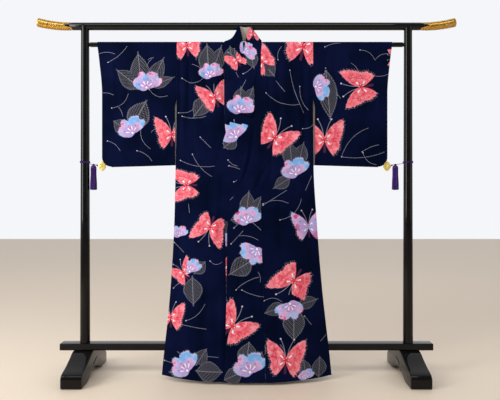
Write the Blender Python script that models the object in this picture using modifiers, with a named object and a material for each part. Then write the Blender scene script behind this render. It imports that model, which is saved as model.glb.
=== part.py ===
"""A cotton yukata robe, hung flat on the pole of a black lacquer kimono stand.

Metres, +Z up. The origin is on the floor under the stand's centre and the robe's front faces -Y, so the wearer's
right is at -X. The robe is one cloth wall for each piece that is cut and sewn, 0.3 mm apart at the seams.
"""

import math

import bmesh
import bpy
import numpy as np
from mathutils import Matrix, Vector

SEAM = 0.0003
TUCK = 0.0006

# The stand: a top rail with gilt ends, a lower pole that carries the robe, two posts, a bottom rail and two feet.
POST_X = 0.750
POST_RADIUS_TOP = 0.0185
POST_RADIUS_FOOT = 0.0225
RAIL_Z = 1.6165
RAIL_RADIUS = 0.0175
RAIL_HALF = 0.817
FINIAL_LENGTH = 0.149
FINIAL_RISE = 0.018
FINIAL_RADIUS = (0.0179, 0.0200)
POLE_Z = 1.5316
POLE_RADIUS = 0.011
TENON_RADIUS = 0.0085
TENON_DEPTH = 0.008
LOWER_RAIL = (1.719, 0.052, 0.031)
LOWER_RAIL_Z = 0.118
FOOT_WIDTH = 0.092
FOOT_LENGTH = 0.374
FOOT_TOE = 0.060
FOOT_ARCH = 0.036

# The cloth: wall thicknesses, and the line that the cloth's middle follows over the pole.
CLOTH = 0.0016
COLLAR_CLOTH = 0.0022
OVER_CLOTH = 0.0012
WRAP = POLE_RADIUS + 0.0004 + CLOTH / 2
FRONT_DEPTH = 0.122
BACK_DEPTH = 0.0565
SIDE_DEPTH = 0.066
HEM_MIDDLE, HEM_SIDE = 0.0115, 0.022
BACK_SEAM_X = -0.008
ARMHOLE_END, SIDE_SEAM_TOP = 1.280, 1.140
SIDE_GAPE = 0.0014
LAP_FRONT, LAP_BACK = 0.0050, 0.0045

# The body's side edges: height, wearer's right edge, wearer's left edge.
SIDES = (
    (1.545, -0.3225, 0.3076),
    (1.280, -0.3225, 0.3076),
    (0.966, -0.3260, 0.3085),
    (0.719, -0.3300, 0.3210),
    (0.430, -0.3440, 0.3420),
    (0.260, -0.3580, 0.3590),
    (0.135, -0.3710, 0.3730),
    (0.010, -0.3830, 0.3850),
)
# Where each front panel meets its overlap panel, or the collar above it: height, right panel, left panel.
FRONT_SEAMS = (
    (1.545, -0.1120, 0.0710),
    (1.500, -0.1045, 0.0665),
    (1.270, -0.1035, 0.0660),
    (0.710, -0.0960, 0.0660),
    (0.366, -0.0900, 0.0770),
    (0.010, -0.0830, 0.0840),
)
# The left overlap panel's free side: the collar's seam down to 0.711, then the front edge: height, x.
LEFT_EDGE = (
    (1.545, 0.0706),
    (1.478, 0.0644),
    (1.436, 0.0588),
    (1.391, 0.0454),
    (1.314, 0.0366),
    (1.244, 0.0366),
    (1.189, 0.0269),
    (1.152, 0.0178),
    (1.064, -0.0053),
    (0.968, -0.0247),
    (0.878, -0.0471),
    (0.779, -0.0694),
    (0.711, -0.0826),
    (0.660, -0.0872),
    (0.368, -0.0890),
    (0.010, -0.0976),
)
# The same side of the right overlap panel, which the left one hides.
RIGHT_EDGE = (
    (1.545, -0.1112),
    (1.500, -0.1037),
    (1.270, -0.1027),
    (1.190, -0.1012),
    (1.120, -0.0950),
    (0.980, -0.0600),
    (0.820, -0.0080),
    (0.700, 0.0330),
    (0.640, 0.0430),
    (0.370, 0.0520),
    (0.010, 0.0620),
)
# The collar below the shoulder, from its cut end up: free edge x, free edge height, height on the panel's side.
COLLAR_LEFT = (
    (-0.1680, 0.757, 0.7135),
    (-0.1780, 0.810, 0.758),
    (-0.1740, 0.860, 0.815),
    (-0.1545, 0.923, 0.887),
    (-0.1255, 1.019, 0.985),
    (-0.1065, 1.078, 1.055),
    (-0.0842, 1.147, 1.125),
    (-0.0643, 1.216, 1.189),
    (-0.0618, 1.277, 1.262),
    (-0.0509, 1.314, 1.312),
    (-0.0367, 1.365, 1.370),
    (-0.0310, 1.398, 1.402),
    (-0.0255, 1.431, 1.436),
    (-0.0190, 1.463, 1.468),
    (-0.0126, 1.494, 1.500),
)
COLLAR_RIGHT = (
    (0.1460, 0.735, 0.702),
    (0.1420, 0.800, 0.762),
    (0.1170, 0.885, 0.850),
    (0.0860, 0.975, 0.950),
    (0.0550, 1.060, 1.045),
    (0.0300, 1.140, 1.125),
    (0.0210, 1.190, 1.175),
    (0.0150, 1.230, 1.215),
    (0.0060, 1.300, 1.290),
    (-0.0020, 1.400, 1.390),
    (-0.0120, 1.490, 1.482),
)
# The collar over the shoulders and round the neck, where it stands up before the top rail: free edge, seam edge.
NECK_LEFT = (
    ((-0.0071, -0.0165, 1.5295), (0.0696, -0.0140, 1.5320)),
    ((-0.0001, -0.0225, 1.5647), (0.0694, -0.0130, 1.5395)),
    ((0.0114, -0.0285, 1.5985), (0.0680, -0.0092, 1.5458)),
    ((0.0180, -0.0310, 1.6064), (0.0655, -0.0055, 1.5462)),
    ((0.0206, -0.0268, 1.6070), (0.0612, -0.0020, 1.5462)),
    ((0.0178, -0.0226, 1.6070), (0.0565, 0.0004, 1.5462)),
)
NECK_BACK = (
    ((0.0080, -0.0222, 1.6055), (0.0350, 0.0006, 1.5462)),
    ((-0.0080, -0.0222, 1.6040), (-0.0060, 0.0006, 1.5462)),
    ((-0.0230, -0.0222, 1.6065), (-0.0400, 0.0006, 1.5462)),
)
NECK_RIGHT = (
    ((-0.0328, -0.0226, 1.6095), (-0.0580, 0.0004, 1.5462)),
    ((-0.0356, -0.0266, 1.6095), (-0.0620, -0.0022, 1.5468)),
    ((-0.0330, -0.0305, 1.6090), (-0.0680, -0.0050, 1.5468)),
    ((-0.0262, -0.0270, 1.5880), (-0.0810, -0.0080, 1.5460)),
    ((-0.0194, -0.0215, 1.5570), (-0.0985, -0.0118, 1.5424)),
    ((-0.0160, -0.0150, 1.5270), (-0.1085, -0.0138, 1.5320)),
)
# The largest folds of the front: x at the top, height there, x at the bottom, height there, bow to the side at
# half height, half width, depth (a trough goes back, a ridge forward).
FRONT_FOLDS = (
    (-0.288, 1.515, -0.290, 0.960, 0.000, 0.014, -0.0060),
    (-0.309, 1.505, -0.311, 0.980, 0.000, 0.009, 0.0040),
    (0.262, 1.480, 0.264, 0.930, 0.000, 0.010, 0.0050),
    (0.283, 1.500, 0.286, 0.920, 0.003, 0.011, -0.0055),
    (0.152, 1.525, 0.160, 1.080, -0.006, 0.013, 0.0045),
    (0.172, 1.515, 0.182, 1.100, -0.006, 0.016, -0.0040),
    (0.120, 1.100, 0.098, 0.840, 0.004, 0.012, 0.0045),
    (0.034, 1.170, -0.034, 0.850, 0.014, 0.011, 0.0060),
    (0.064, 1.120, 0.010, 0.800, 0.010, 0.018, -0.0040),
    (-0.205, 0.900, -0.235, 0.150, 0.006, 0.040, -0.0035),
    (0.200, 0.820, 0.232, 0.150, -0.005, 0.042, -0.0035),
    (0.020, 0.560, 0.004, 0.020, 0.004, 0.030, -0.0040),
)
# The same for the back.
BACK_FOLDS = (
    (-0.180, 1.510, -0.200, 0.950, 0.005, 0.020, 0.0050),
    (0.170, 1.510, 0.190, 0.980, -0.005, 0.020, 0.0045),
    (-0.090, 0.800, -0.120, 0.060, 0.004, 0.035, 0.0030),
    (0.110, 0.760, 0.140, 0.060, 0.000, 0.035, 0.0030),
)
# The right front rolls under beside the collar.
ROLL = (-0.1040, 1.535, -0.1030, 1.060, 0.000, 0.011, 0.0065)

# The sleeves: outer edge at the shoulder, how far it draws in below, bottom edge, wrist opening and open inner slit.
SLEEVE_OUTER = {-1: -0.692, 1: 0.675}
SLEEVE_DRAW_IN = ((1.545, 0.0), (1.450, 0.011), (1.300, 0.021), (0.960, 0.021))
SLEEVE_BOTTOM_INNER, SLEEVE_BOTTOM_OUTER = 0.973, 0.964
SLEEVE_CORNER = 0.045
WRIST_END = 1.310
SLIT_SHOWS = 0.008
SLEEVE_ROWS = (0.0, 0.006, 0.017, 0.031, 0.050, 0.115, 0.180, 0.245, 0.315, 0.380, 0.450, 0.510, 0.5586)
SLEEVE_COLUMNS = 9

# The tasselled cords that hold the sleeves' corners to the posts.
CORD_RADIUS = 0.0015
CORD_TURNS = 2.5
CORD_Z = 0.990
TASSEL_X = {-1: -0.711, 1: 0.691}
TASSEL_TOP, TASSEL_END = 0.978, 0.855
TASSEL_RADIUS = 0.0140
STRANDS_ACROSS = 5
CLIP_X = {-1: -0.6705, 1: 0.6525}
CLIP_Z = 0.967
CLIP_HALF = (0.0165, 0.0225)
CLIP_PLATE = 0.0014

FRONT_ROWS, ARC_ROWS, BACK_ROWS = 20, 8, 11
PANEL_COLUMNS, NECK_COLUMNS = 16, 4
OVERLAP_COLUMNS = 8
SKIRT_ROWS = 9
COLLAR_COLUMNS = 4
OVER_COLLAR_ENDS = 7
OVER_COLLAR_INSET = 0.0010
SLEEVE_UNDER_ROWS = 3


def start_collections():
    """Clears the scene and makes a collection for the object and one for the cutters."""
    for old in list(bpy.data.objects):
        bpy.data.objects.remove(old)
    made = []
    for name in ("yukata_on_stand", "cutters"):
        group = bpy.data.collections.new(name)
        bpy.context.scene.collection.children.link(group)
        made.append(group)
    return made


PARTS, CUTTERS = start_collections()


def finish(name, colour, roughness, metallic=0.0):
    """A Principled material."""
    material = bpy.data.materials.new(name)
    material.use_nodes = True
    shader = material.node_tree.nodes["Principled BSDF"]
    shader.inputs["Base Color"].default_value = (*colour, 1.0)
    shader.inputs["Roughness"].default_value = roughness
    shader.inputs["Metallic"].default_value = metallic
    return material


PRINTED = {"colour": (0.006, 0.008, 0.030), "roughness": 0.85}
LACQUER = {"colour": (0.006, 0.006, 0.007), "roughness": 0.12}
GILT = {"colour": (0.80, 0.52, 0.13), "roughness": 0.28, "metallic": 1.0}
PALE_GILT = {"colour": (0.88, 0.78, 0.42), "roughness": 0.35, "metallic": 0.8}
PURPLE = {"colour": (0.10, 0.018, 0.24), "roughness": 0.6}


def place(name, mesh, look, smooth_angle=40):
    """Puts a mesh in the object's collection, with a material of its own."""
    part = bpy.data.objects.new(name, mesh)
    PARTS.objects.link(part)
    mesh.materials.clear()
    mesh.materials.append(finish(name, **look))
    mesh.shade_smooth()
    mesh.set_sharp_from_angle(angle=math.radians(smooth_angle))
    return part


def cutter(name, mesh):
    """A hidden object that cuts or joins others."""
    tool = bpy.data.objects.new(name, mesh)
    tool.hide_render = True
    tool.display_type = "WIRE"
    CUTTERS.objects.link(tool)
    return tool


def boolean(part, tool, operation="DIFFERENCE"):
    step = part.modifiers.new(operation.title(), "BOOLEAN")
    step.operation = operation
    step.solver = "EXACT"
    step.object = tool


def mesh_from(bm, name):
    bmesh.ops.recalc_face_normals(bm, faces=bm.faces)
    mesh = bpy.data.meshes.new(name)
    bm.to_mesh(mesh)
    bm.free()
    return mesh


# Smooth curves through tables.


def eased(start, end, value):
    """0 before start, 1 after end, with a smooth step between; start may be the higher of the two."""
    t = np.clip((value - start) / (end - start), 0.0, 1.0)
    return t * t * (3 - 2 * t)


def through(rows, column=1):
    """A function that runs smoothly through a table's rows, with no overshoot, from their first column to another."""
    table = np.array(sorted(rows), float)
    key, value = table[:, 0], table[:, column]
    secant = np.diff(value) / np.diff(key)
    before, after = secant[:-1], secant[1:]
    turning = before * after <= 0
    middle = np.where(turning, 0.0, 2 * before * after / np.where(turning, 1.0, before + after))
    slope = np.concatenate([secant[:1], middle, secant[-1:]])

    def at(where):
        where = np.clip(where, key[0], key[-1])
        i = np.clip(np.searchsorted(key, where) - 1, 0, len(key) - 2)
        span = key[i + 1] - key[i]
        t = (where - key[i]) / span
        level = value[i] * (1 + 2 * t) * (1 - t) ** 2 + value[i + 1] * t * t * (3 - 2 * t)
        return level + span * (slope[i] * t * (1 - t) ** 2 - slope[i + 1] * t * t * (1 - t))

    return at


side_right, side_left = through(SIDES, 1), through(SIDES, 2)
seam_right, seam_left = through(FRONT_SEAMS, 1), through(FRONT_SEAMS, 2)
edge_left, edge_right = through(LEFT_EDGE), through(RIGHT_EDGE)
draw_in = through(SLEEVE_DRAW_IN)


# The form that the hung robe takes.


def hang(z):
    """How far down the robe a height lies: 0 at the pole and 1 at the hem."""
    return np.clip((POLE_Z - z) / (POLE_Z - HEM_MIDDLE), 0.0, 1.0)


def across(x, z):
    """-1 at the right side edge, 0 in the middle, 1 at the left side edge."""
    right, left = side_right(z), side_left(z)
    return np.clip((2 * x - right - left) / (left - right), -1.0, 1.0)


def middle_y(z):
    return -SIDE_DEPTH * hang(z) ** 1.1


def gape(z):
    """Half the distance between front and back at the side edge."""
    return SIDE_GAPE + (WRAP - SIDE_GAPE) * eased(SIDE_SEAM_TOP, POLE_Z, z)


def relief(folds, x, z):
    """How far the folds push the cloth back."""
    total = np.zeros(np.broadcast(x, z).shape)
    for top_x, top_z, low_x, low_z, bow, half_width, depth in folds:
        s = (top_z - z) / (top_z - low_z)
        ends = eased(0.0, 0.22, s) * eased(1.0, 0.70, s)
        line = top_x + (low_x - top_x) * s + bow * 4 * s * (1 - s)
        total = total + depth * ends * np.exp(-(((x - line) / half_width) ** 2))
    return total


def front_y(x, z):
    """The front of the robe, without the lap of one side over the other."""
    u = across(x, z)
    side = middle_y(z) - gape(z)
    deepest = -WRAP - FRONT_DEPTH * hang(z) ** 1.25
    flat = side + (deepest - side) * (1 - np.abs(u) ** 3)
    return flat + relief(FRONT_FOLDS, x, z) * eased(1.0, 0.94, np.abs(u))


def back_y(x, z):
    u = across(x, z)
    side = middle_y(z) + gape(z)
    deepest = WRAP - BACK_DEPTH * hang(z)
    flat = side + (deepest - side) * (1 - np.abs(u) ** 3)
    return flat - relief(BACK_FOLDS, x, z) * eased(1.0, 0.94, np.abs(u))


def below_pole(z):
    """0 on the pole and 1 from 4 cm below it, where the two fronts lie apart."""
    return eased(POLE_Z, POLE_Z - 0.042, z)


def left_front_y(x, z):
    """The wearer's left front, which lies over the right one."""
    return front_y(x, z) - LAP_FRONT * below_pole(z) * eased(0.25, 0.10, x)


def right_front_y(x, z):
    roll = relief((ROLL,), x, z)
    return front_y(x, z) + LAP_BACK * below_pole(z) * eased(-0.17, -0.10, x) + roll


# Walls of cloth.


def sheet(columns, rows, shape, keep=None):
    """A grid bent to a shape, with some of its faces left out; u and v run from 0 to 1 over the grid."""
    bm = bmesh.new()
    bmesh.ops.create_grid(bm, x_segments=columns, y_segments=rows, size=0.5)
    bm.verts.ensure_lookup_table()
    uv = np.array([(v.co.x + 0.5, v.co.y + 0.5) for v in bm.verts])
    if keep is not None:
        middles = [(f, f.calc_center_median()) for f in bm.faces]
        out = [f for f, c in middles if not keep(c.x + 0.5, c.y + 0.5)]
    points = np.stack(shape(uv[:, 0], uv[:, 1]), axis=1)
    for vertex, point in zip(bm.verts, points):
        vertex.co = point
    if keep is not None:
        bmesh.ops.delete(bm, geom=out, context="FACES")
    return bm


def wall(name, bm, thickness):
    """Gives a bent grid its thickness, half to each side."""
    mesh = bpy.data.meshes.new(name)
    bmesh.ops.recalc_face_normals(bm, faces=bm.faces)
    bm.to_mesh(mesh)
    bm.free()
    part = place(name, mesh, PRINTED, 60)
    solid = part.modifiers.new("Wall", "SOLIDIFY")
    solid.thickness = thickness
    solid.offset = 0.0
    return part


def body_panel(name, side):
    """A front and a back in one length of cloth, over the pole, cut out at the neck."""
    columns = PANEL_COLUMNS + NECK_COLUMNS
    rows = FRONT_ROWS + ARC_ROWS + BACK_ROWS
    side_edge = side_left if side > 0 else side_right
    front_edge = seam_left if side > 0 else seam_right
    lay = left_front_y if side > 0 else right_front_y
    neck_share = (front_edge(POLE_Z) - side_edge(POLE_Z)) / (BACK_SEAM_X - side_edge(POLE_Z))

    def shape(u, v):
        column, row = np.rint(u * columns), np.rint(v * rows)
        front_share = np.minimum(column / PANEL_COLUMNS, 1.0)
        beyond = np.maximum(column - PANEL_COLUMNS, 0) / NECK_COLUMNS
        back_share = front_share * neck_share + beyond * (1 - neck_share)
        up = np.clip(row / FRONT_ROWS, 0.0, 1.0)
        down = np.clip((row - FRONT_ROWS - ARC_ROWS) / BACK_ROWS, 0.0, 1.0)
        turn = math.pi * np.clip((row - FRONT_ROWS) / ARC_ROWS, 0.0, 1.0)

        def x_at(share, z, inner):
            outer = side_edge(z) - side * SEAM / 2
            return outer + share * (inner + side * SEAM / 2 - outer)

        hem_front = HEM_MIDDLE + (HEM_SIDE - HEM_MIDDLE) * np.abs(
            across(x_at(front_share, 0.01, front_edge(0.01)), 0.01)
        ) ** 2.5
        hem_back = HEM_SIDE - 0.005 * (1 - np.abs(across(x_at(back_share, 0.01, BACK_SEAM_X), 0.01)) ** 2.5)
        z_front = hem_front + up * (POLE_Z - hem_front)
        z_back = POLE_Z + down * (hem_back - POLE_Z)
        x_front = x_at(front_share, z_front, front_edge(z_front))
        x_back = x_at(back_share, z_back, BACK_SEAM_X)
        on_front, on_back = row <= FRONT_ROWS, row >= FRONT_ROWS + ARC_ROWS
        x = np.where(on_front, x_front, x_back)
        y = np.where(on_front, lay(x_front, z_front), back_y(x_back, z_back))
        y = np.where(~on_front & ~on_back, -WRAP * np.cos(turn), y)
        z = np.where(on_front, z_front, z_back)
        z = np.where(~on_front & ~on_back, POLE_Z + WRAP * np.sin(turn), z)
        return x, y, z

    def keep(u, v):
        in_neck = u * columns > PANEL_COLUMNS
        return not (in_neck and v * rows < FRONT_ROWS + ARC_ROWS / 2)

    return wall(name, sheet(columns, rows, shape, keep), CLOTH)


def overlap_panel(name, side):
    """The narrow panel between a front and the collar, whose other side is the robe's front edge."""
    seam = seam_left if side > 0 else seam_right
    edge = edge_left if side > 0 else edge_right
    lay = left_front_y if side > 0 else right_front_y
    beside_collar = [row[2] for row in (COLLAR_LEFT if side > 0 else COLLAR_RIGHT)]
    beside_collar = [z for z in beside_collar if abs(edge(z) - seam(z)) > 0.0015]
    heights = np.concatenate([np.linspace(0.0, beside_collar[0], SKIRT_ROWS + 1), beside_collar[1:]])
    rows = len(heights) - 1

    def shape(u, v):
        hem_x = seam(0.01) + u * (edge(0.01) - seam(0.01))
        hem = HEM_MIDDLE + (HEM_SIDE - HEM_MIDDLE) * np.abs(across(hem_x, 0.01)) ** 2.5
        hem = hem + (0.0 if side > 0 else 0.004)
        z = heights[np.rint(v * rows).astype(int)]
        z = z + hem * np.clip(1 - z / beside_collar[0], 0.0, 1.0)
        inner = seam(z) - side * SEAM / 2
        outer = edge(z) + side * SEAM / 2
        x = inner + u * (outer - inner)
        return x, lay(x, z), z

    return wall(name, sheet(OVERLAP_COLUMNS, rows, shape), CLOTH)


def collar_stations():
    """The collar's free and seam points from its left end, round the neck, to its right end."""
    free, seam = [], []
    for rows, edge, lay, side in (
        (COLLAR_LEFT, edge_left, left_front_y, 1),
        (COLLAR_RIGHT, edge_right, right_front_y, -1),
    ):
        free_side = [(x, float(lay(x, z)), z) for x, z, _ in rows]
        heights = [row[2] for row in rows]
        seam_x = [float(edge(z)) - side * TUCK for z in heights]
        seam_side = [(x, float(lay(x, z)), z) for x, z in zip(seam_x, heights)]
        free.append(free_side)
        seam.append(seam_side)
    neck = NECK_LEFT + NECK_BACK + NECK_RIGHT
    free_line = free[0] + [row[0] for row in neck] + free[1][::-1]
    seam_line = seam[0] + [row[1] for row in neck] + seam[1][::-1]
    return np.array(free_line), np.array(seam_line)


def normals(grid):
    """The direction out of a grid at each of its points, from the faces round it."""
    face = np.cross(grid[:-1, 1:] - grid[1:, :-1], grid[1:, 1:] - grid[:-1, :-1])
    face /= np.linalg.norm(face, axis=2, keepdims=True)
    total = np.zeros_like(grid)
    for i in (0, 1):
        for j in (0, 1):
            total[i : len(grid) - 1 + i, j : grid.shape[1] - 1 + j] += face
    return total / np.linalg.norm(total, axis=2, keepdims=True)


def collar_shape(first=0, last=None, raised=0.0, inset=0.0):
    """The collar band between two stations, moved out from its own surface."""
    free, seam = collar_stations()
    rows = len(free) - 1
    share = np.linspace(0, 1, COLLAR_COLUMNS + 1)
    grid = free[:, None, :] + share[None, :, None] * (seam - free)[:, None, :]
    below = [i < len(COLLAR_LEFT) or i > rows - len(COLLAR_RIGHT) for i in range(rows + 1)]
    for i, on_front in enumerate(below):
        lay = left_front_y if i < len(COLLAR_LEFT) else right_front_y
        if on_front:
            grid[i, :, 1] = lay(grid[i, :, 0], grid[i, :, 2])
    grid = grid + raised * normals(grid)
    width = np.linalg.norm(grid[:, -1] - grid[:, 0], axis=1)[:, None, None]
    trimmed = share[None, :, None] + (0.5 - share[None, :, None]) * 2 * inset / width
    grid = grid[:, :1] + trimmed * (grid[:, -1:] - grid[:, :1]) + (
        grid - grid[:, :1] - share[None, :, None] * (grid[:, -1:] - grid[:, :1])
    )
    return grid[first : rows + 1 if last is None else last + 1]


def band(name, grid, thickness):
    rows, columns = grid.shape[0] - 1, grid.shape[1] - 1

    def shape(u, v):
        point = grid[np.rint(v * rows).astype(int), np.rint(u * columns).astype(int)]
        return point[:, 0], point[:, 1], point[:, 2]

    return wall(name, sheet(columns, rows, shape), thickness)


def sleeve(name, side):
    """A flat tube along the pole: open to the body and at the wrist, sewn along the bottom and the lower outside."""
    heights = np.array(SLEEVE_ROWS)
    rise = heights / heights[-1]
    side_x = float(side_left(POLE_Z) if side > 0 else side_right(POLE_Z))
    count = len(heights)
    rows = 2 * count + ARC_ROWS - 2 + SLEEVE_UNDER_ROWS

    def shape(u, v):
        row = np.rint(v * rows).astype(int)
        back_first = count - 1 + ARC_ROWS
        on_back = row >= back_first
        level = np.where(on_back, back_first + count - 1 - row, row)
        on_arc = (row > count - 1) & (row < back_first)
        below = row > back_first + count - 1
        f = rise[np.clip(level, 0, count - 1)]
        bottom = SLEEVE_BOTTOM_INNER + (SLEEVE_BOTTOM_OUTER - SLEEVE_BOTTOM_INNER) * u
        z = bottom + f * (POLE_Z - bottom)
        round_part = np.clip(SLEEVE_CORNER - (z - SLEEVE_BOTTOM_OUTER), 0.0, SLEEVE_CORNER)
        corner = SLEEVE_CORNER - np.sqrt(SLEEVE_CORNER**2 - round_part**2)
        outer = SLEEVE_OUTER[side] - side * (draw_in(z) + corner)
        slit = SLIT_SHOWS * eased(ARMHOLE_END, ARMHOLE_END - 0.04, z)
        turn_under = np.clip((row - back_first - count + 1) / SLEEVE_UNDER_ROWS, 0.0, 1.0)
        facing = np.where(below, turn_under, np.where(on_back, 0.0, 1.0))
        inner = side_x + side * (SEAM / 2 + slit * facing)
        x = inner + u * (outer - inner)
        middle = middle_y(np.maximum(z, ARMHOLE_END)) * (1 - u) ** 1.5
        inner_gape = np.where(z > ARMHOLE_END, gape(z), gape(ARMHOLE_END) * (0.45 + 0.55 * eased(0.97, 1.28, z)))
        outer_gape = SIDE_GAPE + (WRAP - SIDE_GAPE) * eased(WRIST_END, POLE_Z, z)
        billow = 0.003 * np.sin(math.pi * u) * eased(1.52, 1.40, z) * eased(0.97, 1.08, z)
        mix = eased(0.45, 0.90, u)
        half = inner_gape * (1 - mix) + outer_gape * mix + billow
        y = middle + np.where(on_back, half, -half)
        turn = math.pi * np.clip((row - count + 1) / ARC_ROWS, 0.0, 1.0)
        y = np.where(on_arc, -WRAP * np.cos(turn), y)
        z = np.where(on_arc, POLE_Z + WRAP * np.sin(turn), z)
        y = np.where(below, middle + half * np.cos(math.pi * turn_under), y)
        z = np.where(below, z - half * np.sin(math.pi * turn_under), z)
        return x, y, z

    bm = sheet(SLEEVE_COLUMNS, rows, shape)
    bmesh.ops.remove_doubles(bm, verts=bm.verts, dist=1e-6)
    return wall(name, bm, CLOTH)


# The stand.


def cylinder(name, radius, length, centre, axis="Z", radius_end=None, sides=32):
    """A cylinder or cone along one axis, as a mesh."""
    turn = {"X": Matrix.Rotation(math.pi / 2, 4, "Y"), "Y": Matrix.Rotation(-math.pi / 2, 4, "X"), "Z": Matrix()}
    bm = bmesh.new()
    bmesh.ops.create_cone(
        bm,
        cap_ends=True,
        segments=sides,
        radius1=radius,
        radius2=radius if radius_end is None else radius_end,
        depth=length,
        matrix=Matrix.Translation(centre) @ turn[axis],
    )
    return mesh_from(bm, name)


def tube(name, points, radii, sides_level=6):
    """A round bar through some points, with a radius at each, as a mesh with closed ends."""
    curve = bpy.data.curves.new(name, "CURVE")
    curve.dimensions = "3D"
    curve.bevel_depth = 1.0
    curve.bevel_resolution = sides_level
    curve.use_fill_caps = True
    line = curve.splines.new("POLY")
    line.points.add(len(points) - 1)
    for point, place_at, radius in zip(line.points, points, radii):
        point.co = (*place_at, 1.0)
        point.radius = radius
    holder = bpy.data.objects.new(name + "_line", curve)
    CUTTERS.objects.link(holder)
    bpy.context.view_layer.update()
    shown = holder.evaluated_get(bpy.context.evaluated_depsgraph_get())
    mesh = bpy.data.meshes.new_from_object(shown)
    bpy.data.objects.remove(holder)
    bm = bmesh.new()
    bm.from_mesh(mesh)
    bmesh.ops.remove_doubles(bm, verts=bm.verts, dist=1e-6)
    bpy.data.meshes.remove(mesh)
    return mesh_from(bm, name)


def post_radius(z):
    low = LOWER_RAIL_Z + LOWER_RAIL[2]
    return POST_RADIUS_FOOT + (POST_RADIUS_TOP - POST_RADIUS_FOOT) * (z - low) / (RAIL_Z - low)


def make_posts():
    low = LOWER_RAIL_Z + LOWER_RAIL[2] + SEAM
    saddle = cutter("cut_saddle", cylinder("cut_saddle", RAIL_RADIUS + SEAM, 2 * RAIL_HALF, (0, 0, RAIL_Z), "X"))
    for side, word in ((-1, "right"), (1, "left")):
        middle = (side * POST_X, 0, (low + RAIL_Z) / 2)
        body = cylinder("post_" + word, POST_RADIUS_FOOT, RAIL_Z - low, middle, "Z", POST_RADIUS_TOP)
        part = place("post_" + word, body, LACQUER)
        boolean(part, saddle)
        inner = POST_X - post_radius(POLE_Z) + TENON_DEPTH
        mortise = cylinder(
            "cut_mortise_" + word, TENON_RADIUS + SEAM, 0.03, (side * (inner + SEAM - 0.015), 0, POLE_Z), "X"
        )
        boolean(part, cutter("cut_mortise_" + word, mortise))


def make_rails():
    line = [(-RAIL_HALF, 0, RAIL_Z), (RAIL_HALF, 0, RAIL_Z)]
    place("top_rail", tube("top_rail", line, [RAIL_RADIUS] * 2, 8), LACQUER)
    for side, word in ((-1, "right"), (1, "left")):
        share = np.linspace(0, 1, 9)
        bend = np.clip((share - 0.12) / 0.88, 0, 1)
        x = side * (RAIL_HALF + SEAM + FINIAL_LENGTH * share)
        z = RAIL_Z + FINIAL_RISE * bend**1.8
        radii = FINIAL_RADIUS[0] + (FINIAL_RADIUS[1] - FINIAL_RADIUS[0]) * share
        points = [(float(a), 0.0, float(b)) for a, b in zip(x, z)]
        place("finial_" + word, tube("finial_" + word, points, radii, 6), GILT, 50)
    end = POST_X - post_radius(POLE_Z) + TENON_DEPTH
    shoulder = end - TENON_DEPTH - 0.006
    half = (shoulder - 0.004, shoulder + 0.0005, end)
    x = [-a for a in reversed(half)] + list(half)
    radii = (TENON_RADIUS, TENON_RADIUS, POLE_RADIUS, POLE_RADIUS, TENON_RADIUS, TENON_RADIUS)
    place("hanging_pole", tube("hanging_pole", [(a, 0, POLE_Z) for a in x], radii, 6), LACQUER)

    bm = bmesh.new()
    bmesh.ops.create_cube(bm, size=1.0)
    bmesh.ops.scale(bm, vec=LOWER_RAIL, verts=bm.verts)
    bmesh.ops.translate(bm, vec=(0, 0, LOWER_RAIL_Z + LOWER_RAIL[2] / 2), verts=bm.verts)
    rail = place("bottom_rail", mesh_from(bm, "bottom_rail"), LACQUER, 60)
    edge = rail.modifiers.new("Edge", "BEVEL")
    edge.width = 0.0025
    edge.segments = 2


def foot_outline():
    """The foot's side view, front half: pad, arch, toe and sloping top, as (y, z) from the middle underneath."""
    half = FOOT_LENGTH / 2
    top = LOWER_RAIL_Z - SEAM
    arch = [(0.0, FOOT_ARCH), (0.024, FOOT_ARCH - 0.004), (0.030, FOOT_ARCH - 0.012)]
    for angle in (70, 45, 20):
        rad = math.radians(angle)
        arch.append((0.034 + 0.066 * (1 - math.sin(rad)), 0.031 * math.cos(math.radians(90 - angle)) + 0.001))
    pad = [(0.110, 0.0), (half - 0.005, 0.0), (half, 0.005)]
    toe = [(half, FOOT_TOE - 0.018), (half - 0.003, FOOT_TOE - 0.008), (half - 0.011, FOOT_TOE)]
    slope = [(half - 0.030, FOOT_TOE + 0.006), (0.120, 0.0775), (0.075, 0.0975), (0.038, top - 0.002), (0.030, top)]
    return arch + pad + toe + slope


def make_feet():
    front = foot_outline()
    outline = [(-y, z) for y, z in front] + [(y, z) for y, z in reversed(front[1:])]
    for side, word in ((-1, "right"), (1, "left")):
        bm = bmesh.new()
        x = side * POST_X - FOOT_WIDTH / 2
        face = bm.faces.new([bm.verts.new((x, y, z)) for y, z in outline])
        pushed = bmesh.ops.extrude_face_region(bm, geom=[face])
        moved = [item for item in pushed["geom"] if isinstance(item, bmesh.types.BMVert)]
        bmesh.ops.translate(bm, vec=(FOOT_WIDTH, 0, 0), verts=moved)
        foot = place("foot_" + word, mesh_from(bm, "foot_" + word), LACQUER, 30)
        edge = foot.modifiers.new("Edge", "BEVEL")
        edge.width = 0.0022
        edge.segments = 2
        edge.limit_method = "ANGLE"
        edge.angle_limit = math.radians(60)


# The tasselled cords.


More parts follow.
